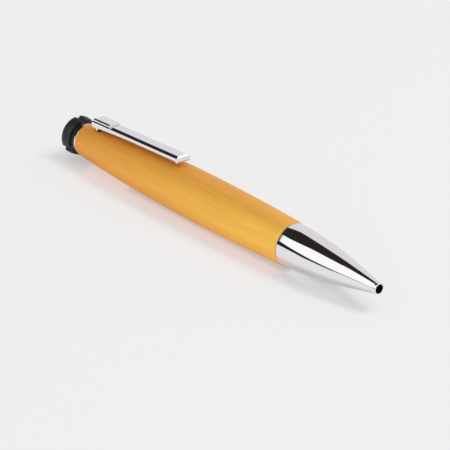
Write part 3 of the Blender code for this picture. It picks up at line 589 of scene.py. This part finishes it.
def soft_filling(name, dark, light, grain, roughness, ior):
    material, tree, shader = new_material(name)
    place = node(tree, "ShaderNodeTexCoord").outputs["Object"]
    cloud = node(tree, "ShaderNodeTexNoise", {"Vector": place, "Scale": 1 / grain, "Detail": 3.0})
    tone = node(
        tree,
        "ShaderNodeMix",
        {0: cloud.outputs[0], 6: hex_colour(dark), 7: hex_colour(light)},
        data_type="RGBA",
    )
    gloss = node(
        tree,
        "ShaderNodeMapRange",
        {0: cloud.outputs[0], 1: 0.3, 2: 0.7, 3: roughness - 0.05, 4: roughness + 0.05},
    )
    tree.links.new(tone.outputs[2], shader.inputs["Base Color"])
    tree.links.new(gloss.outputs[0], shader.inputs["Roughness"])
    shader.inputs["IOR"].default_value = ior
    print("made", name)
    return material


acetal = soft_filling("moulded_white_acetal", "#e6e5df", "#f0efea", 1.2 * MM, 0.4, 1.48)
rubber = soft_filling("black_nitrile_rubber", "#181818", "#222222", 0.4 * MM, 0.75, 1.52)
ink = soft_filling("blue_black_ink_paste", "#0b0f24", "#141a38", 0.8 * MM, 0.2, 1.45)

# %% [markdown]
# ## A finish for every node
# The record names a material slot for each node. Each slot gets one of the finishes above.
# The pieces inside that no view shows keep their CAD meshes and only take their finish, and
# the other nodes are replaced below by finer pieces with the same finish.

# %% Finish for each material slot of the record
finishes = {
    "amber_anodised": amber,
    "chrome_plate": chrome,
    "brass": brass,
    "black_plastic": grip_black,
    "black_gloss": cap_black,
    "steel": steel,
    "black_rubber": rubber,
    "white_acetal": acetal,
    "nickel_silver": nickel_silver,
    "ink": ink,
}
slot_of = {part["node"]: part["material_slot"] for part in frame["record"]["subparts"]}
body_of = {n: body for body, names in frame["record"]["behaviour"]["bodies"].items() for n in names}
for name, cad_node in frame["nodes"].items():
    for material_slot in cad_node.material_slots:
        material_slot.material = finishes[slot_of[name]]
print(f"{len(finishes)} finishes on {len(slot_of)} nodes")

# %% [markdown]
# ## Turning a piece
# A lathe turns a bar against a profile, and bmesh's spin does the same: a closed line of
# points, station and radius, is swept once round the pen's axis. 192 steps keep the outline
# round in a close view. Sharp rims are then rounded with a bevel on the ring of edges there,
# because a rim without a small round never catches the light as a real one does.

# %% Helpers for turned pieces
SHARP_DEG, SAME_PLACE = 40, 1e-6


def turn(outline, steps=192):
    bm = bmesh.new()
    points = [bm.verts.new((x, 0, r)) for x, r in outline]
    edges = [bm.edges.new(pair) for pair in zip(points, points[1:] + points[:1])]
    bmesh.ops.spin(
        bm,
        geom=points + edges,
        cent=(0, 0, 0),
        axis=(1, 0, 0),
        angle=math.tau,
        steps=steps,
        use_merge=True,
    )
    bmesh.ops.remove_doubles(bm, verts=bm.verts, dist=1e-7)
    bmesh.ops.recalc_face_normals(bm, faces=bm.faces)
    return bm


def round_rims(bm, rims, segments=4):
    for x, r, width in rims:
        ring = [
            e
            for e in bm.edges
            if all(max(abs(v.co.x - x), abs(v.co.yz.length - r)) < SAME_PLACE for v in e.verts)
        ]
        bmesh.ops.bevel(
            bm, geom=ring, offset=width, affect="EDGES", segments=segments, profile=0.5, material=-1
        )


def piece(name, bm, *nodes, sharp_deg=SHARP_DEG):
    bmesh.ops.translate(bm, verts=bm.verts, vec=AXIS)
    mesh = bpy.data.meshes.new(name)
    bm.to_mesh(mesh)
    bm.free()
    mesh.shade_smooth()
    mesh.set_sharp_from_angle(angle=math.radians(sharp_deg))
    mesh.materials.append(finishes[slot_of[nodes[0]]])
    made = bpy.data.objects.new(name, mesh)
    bpy.context.scene.collection.objects.link(made)
    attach(made, body_of[nodes[0]])
    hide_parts(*nodes)
    print(f"{name}: {sum(len(p.vertices) - 2 for p in mesh.polygons)} triangles")
    return made


# %% [markdown]
# ## The barrel
# The barrel is a turned tube with a soft belly. Its bore holds the mechanism, and a wider
# bore in front holds the bushing that the nose screws into. The clip's leg drops into a slot
# in the top near the rear end. The slot is milled after turning, so here too a block is cut
# out of the turned shape, by a Boolean whose result is kept as plain mesh. A last cut leaves
# the narrow flat under the belly that the pen rests on.

# %% Barrel
BORE_R, FRONT_BORE_R, X_FRONT_BORE = 4.1 * MM, 4.95 * MM, 21.7 * MM
rear_curve = [(x, barrel_radius(x)) for x in spread(X_BARREL_REAR, X_BELLY, 33)]
front_curve = [(x, barrel_radius(x)) for x in spread(X_BELLY, X_BARREL_FRONT, 27)[1:]]
inside = [
    (X_BARREL_FRONT, FRONT_BORE_R),
    (X_FRONT_BORE, FRONT_BORE_R),
    (X_FRONT_BORE, BORE_R),
    (X_BARREL_REAR, BORE_R),
]
bm = turn(rear_curve + front_curve + inside)
round_rims(
    bm,
    [(X_BARREL_REAR, BARREL_REAR_R, 0.3 * MM), (X_BARREL_FRONT, BARREL_FRONT_R, 0.12 * MM)],
)
barrel = piece("amber_barrel", bm, "barrel")


# %% Slot for the clip's leg


def mill_slot(part, low, high):
    bm = bmesh.new()
    bmesh.ops.create_cube(bm, size=1.0)
    low, high = AXIS + Vector(low), AXIS + Vector(high)
    bmesh.ops.scale(bm, verts=bm.verts, vec=high - low)
    bmesh.ops.translate(bm, verts=bm.verts, vec=(low + high) / 2)
    mesh = bpy.data.meshes.new("slot_block")
    bm.to_mesh(mesh)
    bm.free()
    block = bpy.data.objects.new("slot_block", mesh)
    bpy.context.scene.collection.objects.link(block)
    cut = part.modifiers.new("slot", "BOOLEAN")
    cut.operation, cut.solver, cut.object = "DIFFERENCE", "EXACT", block
    depsgraph = bpy.context.evaluated_depsgraph_get()
    part.data = bpy.data.meshes.new_from_object(part.evaluated_get(depsgraph))
    part.modifiers.remove(cut)
    bpy.data.objects.remove(block)
    part.data.set_sharp_from_angle(angle=math.radians(SHARP_DEG))
    print(f"slot in {part.name}, {len(part.data.polygons)} faces now")


X_LEG_REAR, X_LEG_FRONT = -54.2 * MM, -53.3 * MM
ROOM_BEHIND, ROOM_IN_FRONT = 0.25 * MM, 1.2 * MM
LEG_SLOT_HALF, LEG_SLOT_FLOOR = 1.85 * MM, 4.5 * MM
TONGUE_SLOT_HALF, TONGUE_SLOT_FLOOR = 1.15 * MM, 3.1 * MM
slot_rear, slot_front = X_LEG_REAR - ROOM_BEHIND, X_LEG_FRONT + ROOM_IN_FRONT
for half, bottom in ((LEG_SLOT_HALF, LEG_SLOT_FLOOR), (TONGUE_SLOT_HALF, TONGUE_SLOT_FLOOR)):
    mill_slot(barrel, (slot_rear, -half, bottom), (slot_front, half, BELLY_R))
mill_slot(barrel, (X_BARREL_REAR, -BELLY_R, -2 * BELLY_R), (X_BARREL_FRONT, BELLY_R, -AXIS_Z))

# %% [markdown]
# ## The nose cone
# The nose is turned brass, chrome plated. It leaves the barrel almost level, bends down and
# runs out in a straight cone to a small bead round the hole for the point. It is hollow: the
# refill runs through it, the spring sits in its narrow end, and a spigot at the rear goes
# into the barrel. All of that is one profile. A small step at the rear leaves the seam line
# that parts it from the barrel. The hole and the step are drawn almost black: painted shade.

# %% Nose cone
BEAD_R, BEAD_LENGTH, TIP_HOLE_R = 1.62 * MM, 0.9 * MM, 1.25 * MM
SPIGOT_R, X_SPIGOT_REAR = 4.2 * MM, nose_low.x
SPRING_BORE_R, X_SPRING_SEAT, X_SPRING_BORE = 1.85 * MM, 61.0 * MM, 54.9 * MM
REFILL_BORE_R, X_REFILL_BORE = 3.2 * MM, 52.9 * MM
X_BEAD = X_TIP - BEAD_LENGTH
STEP, STEP_DEPTH = 0.12 * MM, 0.25 * MM
seam_r = BARREL_FRONT_R - STEP_DEPTH
seam = [(X_NOSE_REAR, seam_r), (X_NOSE_REAR + STEP, seam_r)]
outside = seam + [(x, nose_radius(x)) for x in spread(X_NOSE_REAR + STEP, X_BEAD, 56)]
bead = [(X_BEAD, BEAD_R), (X_TIP, BEAD_R)]
inside = [
    (X_TIP, TIP_HOLE_R),
    (X_SPRING_SEAT, TIP_HOLE_R),
    (X_SPRING_SEAT, SPRING_BORE_R),
    (X_SPRING_BORE, SPRING_BORE_R),
    (X_REFILL_BORE, REFILL_BORE_R),
    (X_SPIGOT_REAR, REFILL_BORE_R),
    (X_SPIGOT_REAR, SPIGOT_R),
    (X_NOSE_REAR, SPIGOT_R),
]
bm = turn(outside + bead + inside)
round_rims(
    bm,
    [
        (X_BEAD, BEAD_R, 0.06 * MM),
        (X_TIP, BEAD_R, 0.16 * MM),
        (X_TIP, TIP_HOLE_R, 0.08 * MM),
    ],
)
# The faces of the hole and of the seam step take the dark second finish, which is painted shade.
for f in bm.faces:
    in_bore = max(v.co.yz.length for v in f.verts) < TIP_HOLE_R + 0.02 * MM
    in_seam = all(abs(v.co.x - X_NOSE_REAR) < STEP + 1e-7 for v in f.verts)
    f.material_index = int(in_bore or in_seam)
nose = piece("polished_nose", bm, "nose_cone")
nose.data.materials.append(painted_shade_brown)

# %% [markdown]
# ## The trim ring
# A thin chrome ring, a little below the barrel's rim, parts the barrel from the knob. Such
# rings are turned with a rounded edge, so the ring is a short tube whose outer rims are
# rounded until they almost meet, and it glints like a bead of wire.

# %% Trim ring
RING_R, RING_BORE_R, RING_ROUND = 4.76 * MM, 4.1 * MM, 0.25 * MM
bm = turn(
    [(ring_low.x, RING_R), (ring_high.x, RING_R), (ring_high.x, RING_BORE_R), (ring_low.x, RING_BORE_R)]
)
round_rims(bm, [(x, RING_R, RING_ROUND) for x in (ring_low.x, ring_high.x)], segments=6)
piece("bright_ring", bm, "trim_ring")

# %% [markdown]
# ## The knob
# The knob's grip has three lobes with a shallow notch between each pair, so that fingers can
# turn it. It flares to the rear, and a neck sets it off from the ring. A turned shape can't
# have lobes, so this piece is a stack of circles along X: each one starts as a full circle, its
# points move in or out by how near they are to a notch, and bridge_loops joins it to the next.
# A glossy disc, turned like the ring, closes its end.

# %% Knob grip
KNOB_R, KNOB_FRONT_R, NECK_R, NOTCH_REAR_R = 5.8 * MM, 5.35 * MM, 4.75 * MM, 5.25 * MM
X_LOBES = X_KNOB_FRONT - 1.4 * MM
X_FLARE = X_LOBES - 2.6 * MM
NOTCHES, FIRST_NOTCH = 3, math.radians(89.0)
NOTCH_HALF, NOTCH_SOFT = 0.78 * MM, 0.16 * MM


def notch_floor(x):
    return NECK_R + (NOTCH_REAR_R - NECK_R) * (X_LOBES - x) / (X_LOBES - X_KNOB_REAR)


def lobe_share(angle, radius):
    nearest = (angle - FIRST_NOTCH + math.pi / NOTCHES) % (math.tau / NOTCHES) - math.pi / NOTCHES
    beside = radius * math.sin(abs(nearest)) - NOTCH_HALF
    t = min(max(beside / (2 * NOTCH_SOFT) + 0.5, 0), 1)
    return t * t * (3 - 2 * t)


def knob_ring(bm, x, lobe_r, floor_r):
    made = bmesh.ops.create_circle(bm, segments=360, radius=1.0)["verts"]
    for v in made:
        angle = math.atan2(v.co.y, v.co.x)
        r = floor_r + (lobe_r - floor_r) * lobe_share(angle, max(lobe_r, floor_r))
        v.co = (x, r * math.cos(angle), r * math.sin(angle))
    return list({e for v in made for e in v.link_edges})


CORE_R, FLANGE_R, CAP_SEAT_R = 2.45 * MM, 4.05 * MM, 3.0 * MM
X_FLANGE, X_CAP_SEAT = X_KNOB_FRONT - 0.9 * MM, X_KNOB_REAR + 0.9 * MM
EDGE, NOTCH_EDGE, SEAT_EDGE = 0.5 * MM, 0.25 * MM, 0.1 * MM
SHOULDER_LOW, SHOULDER_HIGH, SHOULDER_LENGTH = 0.15 * MM, 0.04 * MM, 0.05 * MM
x_shoulder = X_LOBES - SHOULDER_LENGTH
stack = [
    (X_KNOB_FRONT, NECK_R, NECK_R),
    (X_LOBES, NECK_R, NECK_R),
    (X_LOBES, KNOB_FRONT_R - SHOULDER_LOW, NECK_R),
    (x_shoulder, KNOB_FRONT_R - SHOULDER_HIGH, notch_floor(x_shoulder)),
]
for share in spread(0.06, 1, 8):
    x = X_LOBES + share * (X_FLARE - X_LOBES)
    lobe_r = KNOB_FRONT_R + (KNOB_R - KNOB_FRONT_R) * math.sin(share * math.pi / 2)
    stack.append((x, lobe_r, notch_floor(x)))
for turn_deg in (0, 18, 36, 54, 72, 90):
    a = math.radians(turn_deg)
    x = X_KNOB_REAR + EDGE * (1 - math.sin(a))
    lobe_r = KNOB_R - EDGE * (1 - math.cos(a))
    stack.append((x, lobe_r, notch_floor(x) - NOTCH_EDGE * (1 - math.cos(a))))
stack += [
    (X_KNOB_REAR, CAP_SEAT_R + SEAT_EDGE, CAP_SEAT_R + SEAT_EDGE),
    (X_KNOB_REAR + SEAT_EDGE, CAP_SEAT_R, CAP_SEAT_R),
    (X_CAP_SEAT, CAP_SEAT_R, CAP_SEAT_R),
    (X_CAP_SEAT, CORE_R, CORE_R),
    (X_FLANGE, CORE_R, CORE_R),
    (X_FLANGE, FLANGE_R, FLANGE_R),
    (X_KNOB_FRONT, FLANGE_R, FLANGE_R),
]
bm = bmesh.new()
rings = [knob_ring(bm, *row) for row in stack]
for one, other in zip(rings, rings[1:] + rings[:1]):
    bmesh.ops.bridge_loops(bm, edges=one + other)
bmesh.ops.recalc_face_normals(bm, faces=bm.faces)
piece("notched_grip", bm, "knob_grip", sharp_deg=50)

# %% Disc in the knob's end
cap_low, cap_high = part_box("knob_end_cap")
CAP_R, CAP_ROUND = 2.95 * MM, 0.2 * MM
bm = turn([(cap_low.x, CAP_R), (cap_high.x, CAP_R), (cap_high.x, 0.0), (cap_low.x, 0.0)])
round_rims(bm, [(cap_low.x, CAP_R, CAP_ROUND)])
piece("knob_disc", bm, "knob_end_cap")

# %% [markdown]
# ## The clip
# The clip is a straight blade of sprung metal, chrome plated. It stands on one leg near its
# rear end and leans away from the barrel, and a small lip at its tip grips the pocket. The
# blade is its side view, extruded to its width, and deeper at the heel. Its top is raised
# inside a slope all round, a low one for the plate's seat and a higher one in front of it. An
# inset makes each, and a narrow bevel breaks the edges, as polishing does.

# %% Clip blade
clip_low, clip_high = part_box("clip")
plate_low, plate_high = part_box("clip_plate")
X_CLIP_REAR, X_CLIP_TIP = clip_low.x, clip_high.x
GAP_REAR, GAP_TIP, BLADE_BREAK = 1.55 * MM, 1.53 * MM, 0.04 * MM
UNDER_REAR, UNDER_TIP = barrel_radius(X_CLIP_REAR) + GAP_REAR, barrel_radius(X_CLIP_TIP) + GAP_TIP
CLIP_THICK, CLIP_WIDTH, LIP_LENGTH, LIP_HEIGHT = 0.9 * MM, 4.46 * MM, 1.0 * MM, 0.4 * MM
CROWN_WIDTH, CROWN_HEIGHT, SEAT_WIDTH, SEAT_HEIGHT = 0.8 * MM, 0.55 * MM, 0.36 * MM, 0.25 * MM
HEEL, HEEL_LENGTH, LEAN, FRONT_SLOPE = 0.7 * MM, 20.0 * MM, 0.3 * MM, 0.35 * MM
SEAT_LENGTH, FIRST_HEEL_POINT = 8.6 * MM, 4 * MM


def under_clip(x):
    return UNDER_REAR + (UNDER_TIP - UNDER_REAR) * (x - X_CLIP_REAR) / (X_CLIP_TIP - X_CLIP_REAR)


def heel(x):
    return under_clip(x) - HEEL * max(1 - (x - X_CLIP_REAR) / HEEL_LENGTH, 0) ** 2


def whole(bm):
    return bm.verts[:] + bm.edges[:] + bm.faces[:]


def raise_top(bm, face, width, height):
    bmesh.ops.inset_region(
        bm, faces=[face], use_boundary=True, use_even_offset=True, thickness=width, depth=height
    )


def break_edges(bm, offset):
    edges = [e for e in bm.edges if e.calc_face_angle(0) > 0.3]
    bmesh.ops.bevel(bm, geom=edges, offset=offset, affect="EDGES", segments=3, profile=0.5, material=-1)


x_lip, x_crown = X_CLIP_TIP - LIP_LENGTH, X_CLIP_REAR + SEAT_LENGTH
x_heel = spread(X_CLIP_REAR + FIRST_HEEL_POINT, X_CLIP_REAR + HEEL_LENGTH, 9)
side_view = [(x, heel(x)) for x in (X_CLIP_REAR, X_LEG_REAR, X_LEG_FRONT, *x_heel, x_lip)]
side_view += [
    (x_lip + LIP_HEIGHT, under_clip(x_lip) - LIP_HEIGHT),
    (X_CLIP_TIP - LEAN / 3, under_clip(X_CLIP_TIP) - LIP_HEIGHT),
    (X_CLIP_TIP, under_clip(X_CLIP_TIP)),
    (X_CLIP_TIP - LEAN, under_clip(X_CLIP_TIP - LEAN) + CLIP_THICK),
    (X_CLIP_REAR, under_clip(X_CLIP_REAR) + CLIP_THICK),
]
bm = bmesh.new()
face = bm.faces.new([bm.verts.new((x, -CLIP_WIDTH / 2, z)) for x, z in side_view])
grown = bmesh.ops.extrude_face_region(bm, geom=[face])["geom"]
moved = [v for v in grown if isinstance(v, bmesh.types.BMVert)]
bmesh.ops.translate(bm, verts=moved, vec=(0, CLIP_WIDTH, 0))
bmesh.ops.bisect_plane(bm, geom=whole(bm), plane_co=(x_crown, 0, 0), plane_no=(1, 0, 0))
bmesh.ops.recalc_face_normals(bm, faces=bm.faces)
tops = sorted((f for f in bm.faces if f.normal.z > 0.9), key=lambda f: f.calc_center_median().x)
raise_top(bm, tops[0], SEAT_WIDTH, SEAT_HEIGHT)
raise_top(bm, tops[1], CROWN_WIDTH, CROWN_HEIGHT)
for v in tops[1].verts:
    if v.co.x > x_lip - CROWN_WIDTH:
        v.co.x += FRONT_SLOPE
break_edges(bm, BLADE_BREAK)
print(f"blade with {len(bm.faces)} faces")

# %% [markdown]
# ## The clip's leg
# The leg goes down into the barrel's slot, and a narrower tongue below it goes through the wall
# and ends in a toe that hooks under it. Here all of it grows from the blade: two cuts across
# the width part off a strip of the underside, which is pulled down as the leg, then a narrower
# strip is pulled down as the tongue, and the toe is pulled forwards.

# %% Leg, tongue and toe
LEG_WIDTH, TONGUE_WIDTH, TOE_LENGTH = 3.2 * MM, 1.8 * MM, 1.6 * MM
LEG_FLOOR, TOE_TOP, TOE_FLOOR = 4.75 * MM, 3.75 * MM, 3.35 * MM


def pull(bm, faces, move):
    grown = bmesh.ops.extrude_face_region(bm, geom=faces)["geom"]
    bmesh.ops.delete(bm, geom=faces, context="FACES_ONLY")
    for v in grown:
        if isinstance(v, bmesh.types.BMVert):
            move(v)
    bmesh.ops.recalc_face_normals(bm, faces=bm.faces)


def drop(bottom):
    def move(v):
        v.co.z = bottom

    return move


def forwards(v):
    v.co.x += TOE_LENGTH


for width, bottom in ((LEG_WIDTH, LEG_FLOOR), (TONGUE_WIDTH, TOE_FLOOR)):
    for side in (-1, 1):
        bmesh.ops.bisect_plane(bm, geom=whole(bm), plane_co=(0, side * width / 2, 0), plane_no=(0, 1, 0))
    middles = [(f, f.calc_center_median()) for f in bm.faces if f.normal.z < -0.9]
    strip = [f for f, c in middles if X_LEG_REAR < c.x < X_LEG_FRONT and abs(c.y) < width / 2]
    pull(bm, strip, drop(bottom))
bmesh.ops.bisect_plane(bm, geom=whole(bm), plane_co=(0, 0, TOE_TOP), plane_no=(0, 0, 1))
toe = [f for f in bm.faces if f.normal.x > 0.9 and f.calc_center_median().z < TOE_TOP]
pull(bm, toe, forwards)
piece("sprung_clip", bm, "clip", sharp_deg=5)

# %% [markdown]
# ## The clip's plate
# A thin plate lies on its seat at the clip's rear end. It is left plain. It is a block whose
# top is raised inside a slope, as the blade's is, and it is tilted to lie along the blade.

# %% Clip plate
PLATE_LENGTH, PLATE_WIDTH, PLATE_HEIGHT, PLATE_GAP = 8.0 * MM, 3.86 * MM, 0.7 * MM, 0.05 * MM
PLATE_SLOPE, PLATE_RISE, PLATE_BREAK = 0.42 * MM, 0.29 * MM, 0.02 * MM
PLATE_SIDE = PLATE_HEIGHT - PLATE_RISE
bm = bmesh.new()
bmesh.ops.create_cube(bm, size=1.0)
bmesh.ops.scale(bm, verts=bm.verts, vec=(PLATE_LENGTH, PLATE_WIDTH, PLATE_SIDE))
raise_top(bm, max(bm.faces, key=lambda f: f.normal.z), PLATE_SLOPE, PLATE_RISE)
break_edges(bm, PLATE_BREAK)
lift = under_clip(0.0) + CLIP_THICK + SEAT_HEIGHT + PLATE_GAP + PLATE_SIDE / 2
slope = (UNDER_TIP - UNDER_REAR) / (X_CLIP_TIP - X_CLIP_REAR)
middle = (plate_low.x + plate_high.x) / 2
for v in bm.verts:
    v.co.x += middle
    v.co.z += lift + slope * v.co.x
piece("clip_plate_bare", bm, "clip_plate", sharp_deg=5)

# %% [markdown]
# ## The writing point
# Inside the nose's hole sits the refill's point: a shoulder, a neck for the spring, and a
# cone of nickel silver whose rim holds a steel ball. It shows when the knob is turned. The
# point is turned like the rest, and the ball is a sphere fine enough for a close view.

# %% Refill point and ball
tip_low, tip_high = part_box("refill_tip")
ball_low, ball_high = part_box("refill_ball")
ink_low, ink_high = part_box("ink_column")
STUB_LENGTH, NECK_LENGTH, SLOPE_LENGTH, CONE_LENGTH = 2.5 * MM, 5.0 * MM, 2.0 * MM, 3.0 * MM
RIM_REAR, RIM_REAR_R, RIM_EDGE, RIM_EDGE_R, RIM_R = (size * MM for size in (0.5, 0.79, 0.12, 0.72, 0.62))
X_SHOULDER, X_RIM = tip_low.x + STUB_LENGTH, tip_high.x
X_NECK_FRONT = X_SHOULDER + NECK_LENGTH
X_BALL, BALL_R = (ball_low.x + ball_high.x) / 2, (ball_high.x - ball_low.x) / 2
BALL_PLAY, CHANNEL_R, IN_TUBE_R = 0.06 * MM, 0.35 * MM, (ink_high.z - ink_low.z) / 2
SOCKET_R = BALL_R + BALL_PLAY
REFILL_R, SPRING_NECK_R, POINT_R = 2.95 * MM, 1.7 * MM, 1.15 * MM
bm = turn(
    [
        (tip_low.x, CHANNEL_R),
        (tip_low.x, IN_TUBE_R),
        (X_SHOULDER, IN_TUBE_R),
        (X_SHOULDER, REFILL_R),
        (X_SHOULDER + SLOPE_LENGTH, SPRING_NECK_R),
        (X_NECK_FRONT, SPRING_NECK_R),
        (X_NECK_FRONT, POINT_R),
        (X_RIM - CONE_LENGTH, POINT_R),
        (X_RIM - RIM_REAR, RIM_REAR_R),
        (X_RIM - RIM_EDGE, RIM_EDGE_R),
        (X_RIM, RIM_R),
        (X_RIM, SOCKET_R),
        (X_BALL - SOCKET_R, SOCKET_R),
        (X_BALL - SOCKET_R, CHANNEL_R),
    ],
    steps=96,
)
round_rims(bm, [(X_NECK_FRONT, SPRING_NECK_R, 0.08 * MM), (X_SHOULDER, REFILL_R, 0.1 * MM)])
piece("turned_point", bm, "refill_tip", sharp_deg=25)
bm = bmesh.new()
bmesh.ops.create_uvsphere(bm, u_segments=32, v_segments=20, radius=BALL_R)
bmesh.ops.translate(bm, verts=bm.verts, vec=(X_BALL, 0, 0))
piece("writing_ball", bm, "refill_ball")

# %% [markdown]
# ## The return spring
# A spring of drawn steel wire pushes the refill back when the knob is turned back. Its front
# end sits in the nose and its rear end on the refill's neck, so it shortens as the point comes
# out. A spring is wound from wire, and spin does that too: a circle the size of the wire is
# carried round the axis six times while it moves forwards.

# %% Return spring
WIRE_R, COIL_R, CURLS, STEPS_PER_CURL, END_GAP = 0.2 * MM, 1.5 * MM, 6, 48, 0.1 * MM
x_from, x_to = X_NECK_FRONT + WIRE_R + END_GAP, X_SPRING_SEAT - WIRE_R - END_GAP
bm = bmesh.new()
wire = bmesh.ops.create_circle(bm, segments=16, radius=WIRE_R)["verts"]
bmesh.ops.translate(bm, verts=wire, vec=(x_from, COIL_R, 0))
steps = CURLS * STEPS_PER_CURL
bmesh.ops.spin(
    bm,
    geom=bm.verts[:] + bm.edges[:],
    cent=(0, 0, 0),
    axis=(1, 0, 0),
    dvec=((x_to - x_from) / steps, 0, 0),
    angle=CURLS * math.tau,
    steps=steps,
)
bmesh.ops.holes_fill(bm, edges=[e for e in bm.edges if e.is_boundary], sides=0)
bmesh.ops.recalc_face_normals(bm, faces=bm.faces)
spring = piece("wound_spring", bm, "return_spring")
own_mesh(spring)

# %% [markdown]
# ## Sizes
# The box of everything that shows is compared with the CAD's box.
# They should differ by a few hundredths of a millimetre at most.

# %% Compare sizes
visual_box = [list(corner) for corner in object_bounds()]
grown = [max(cad_box[0][i] - visual_box[0][i], visual_box[1][i] - cad_box[1][i]) / MM for i in range(3)]
print("visual box stands proud by", [round(g, 3) for g in grown], "mm")
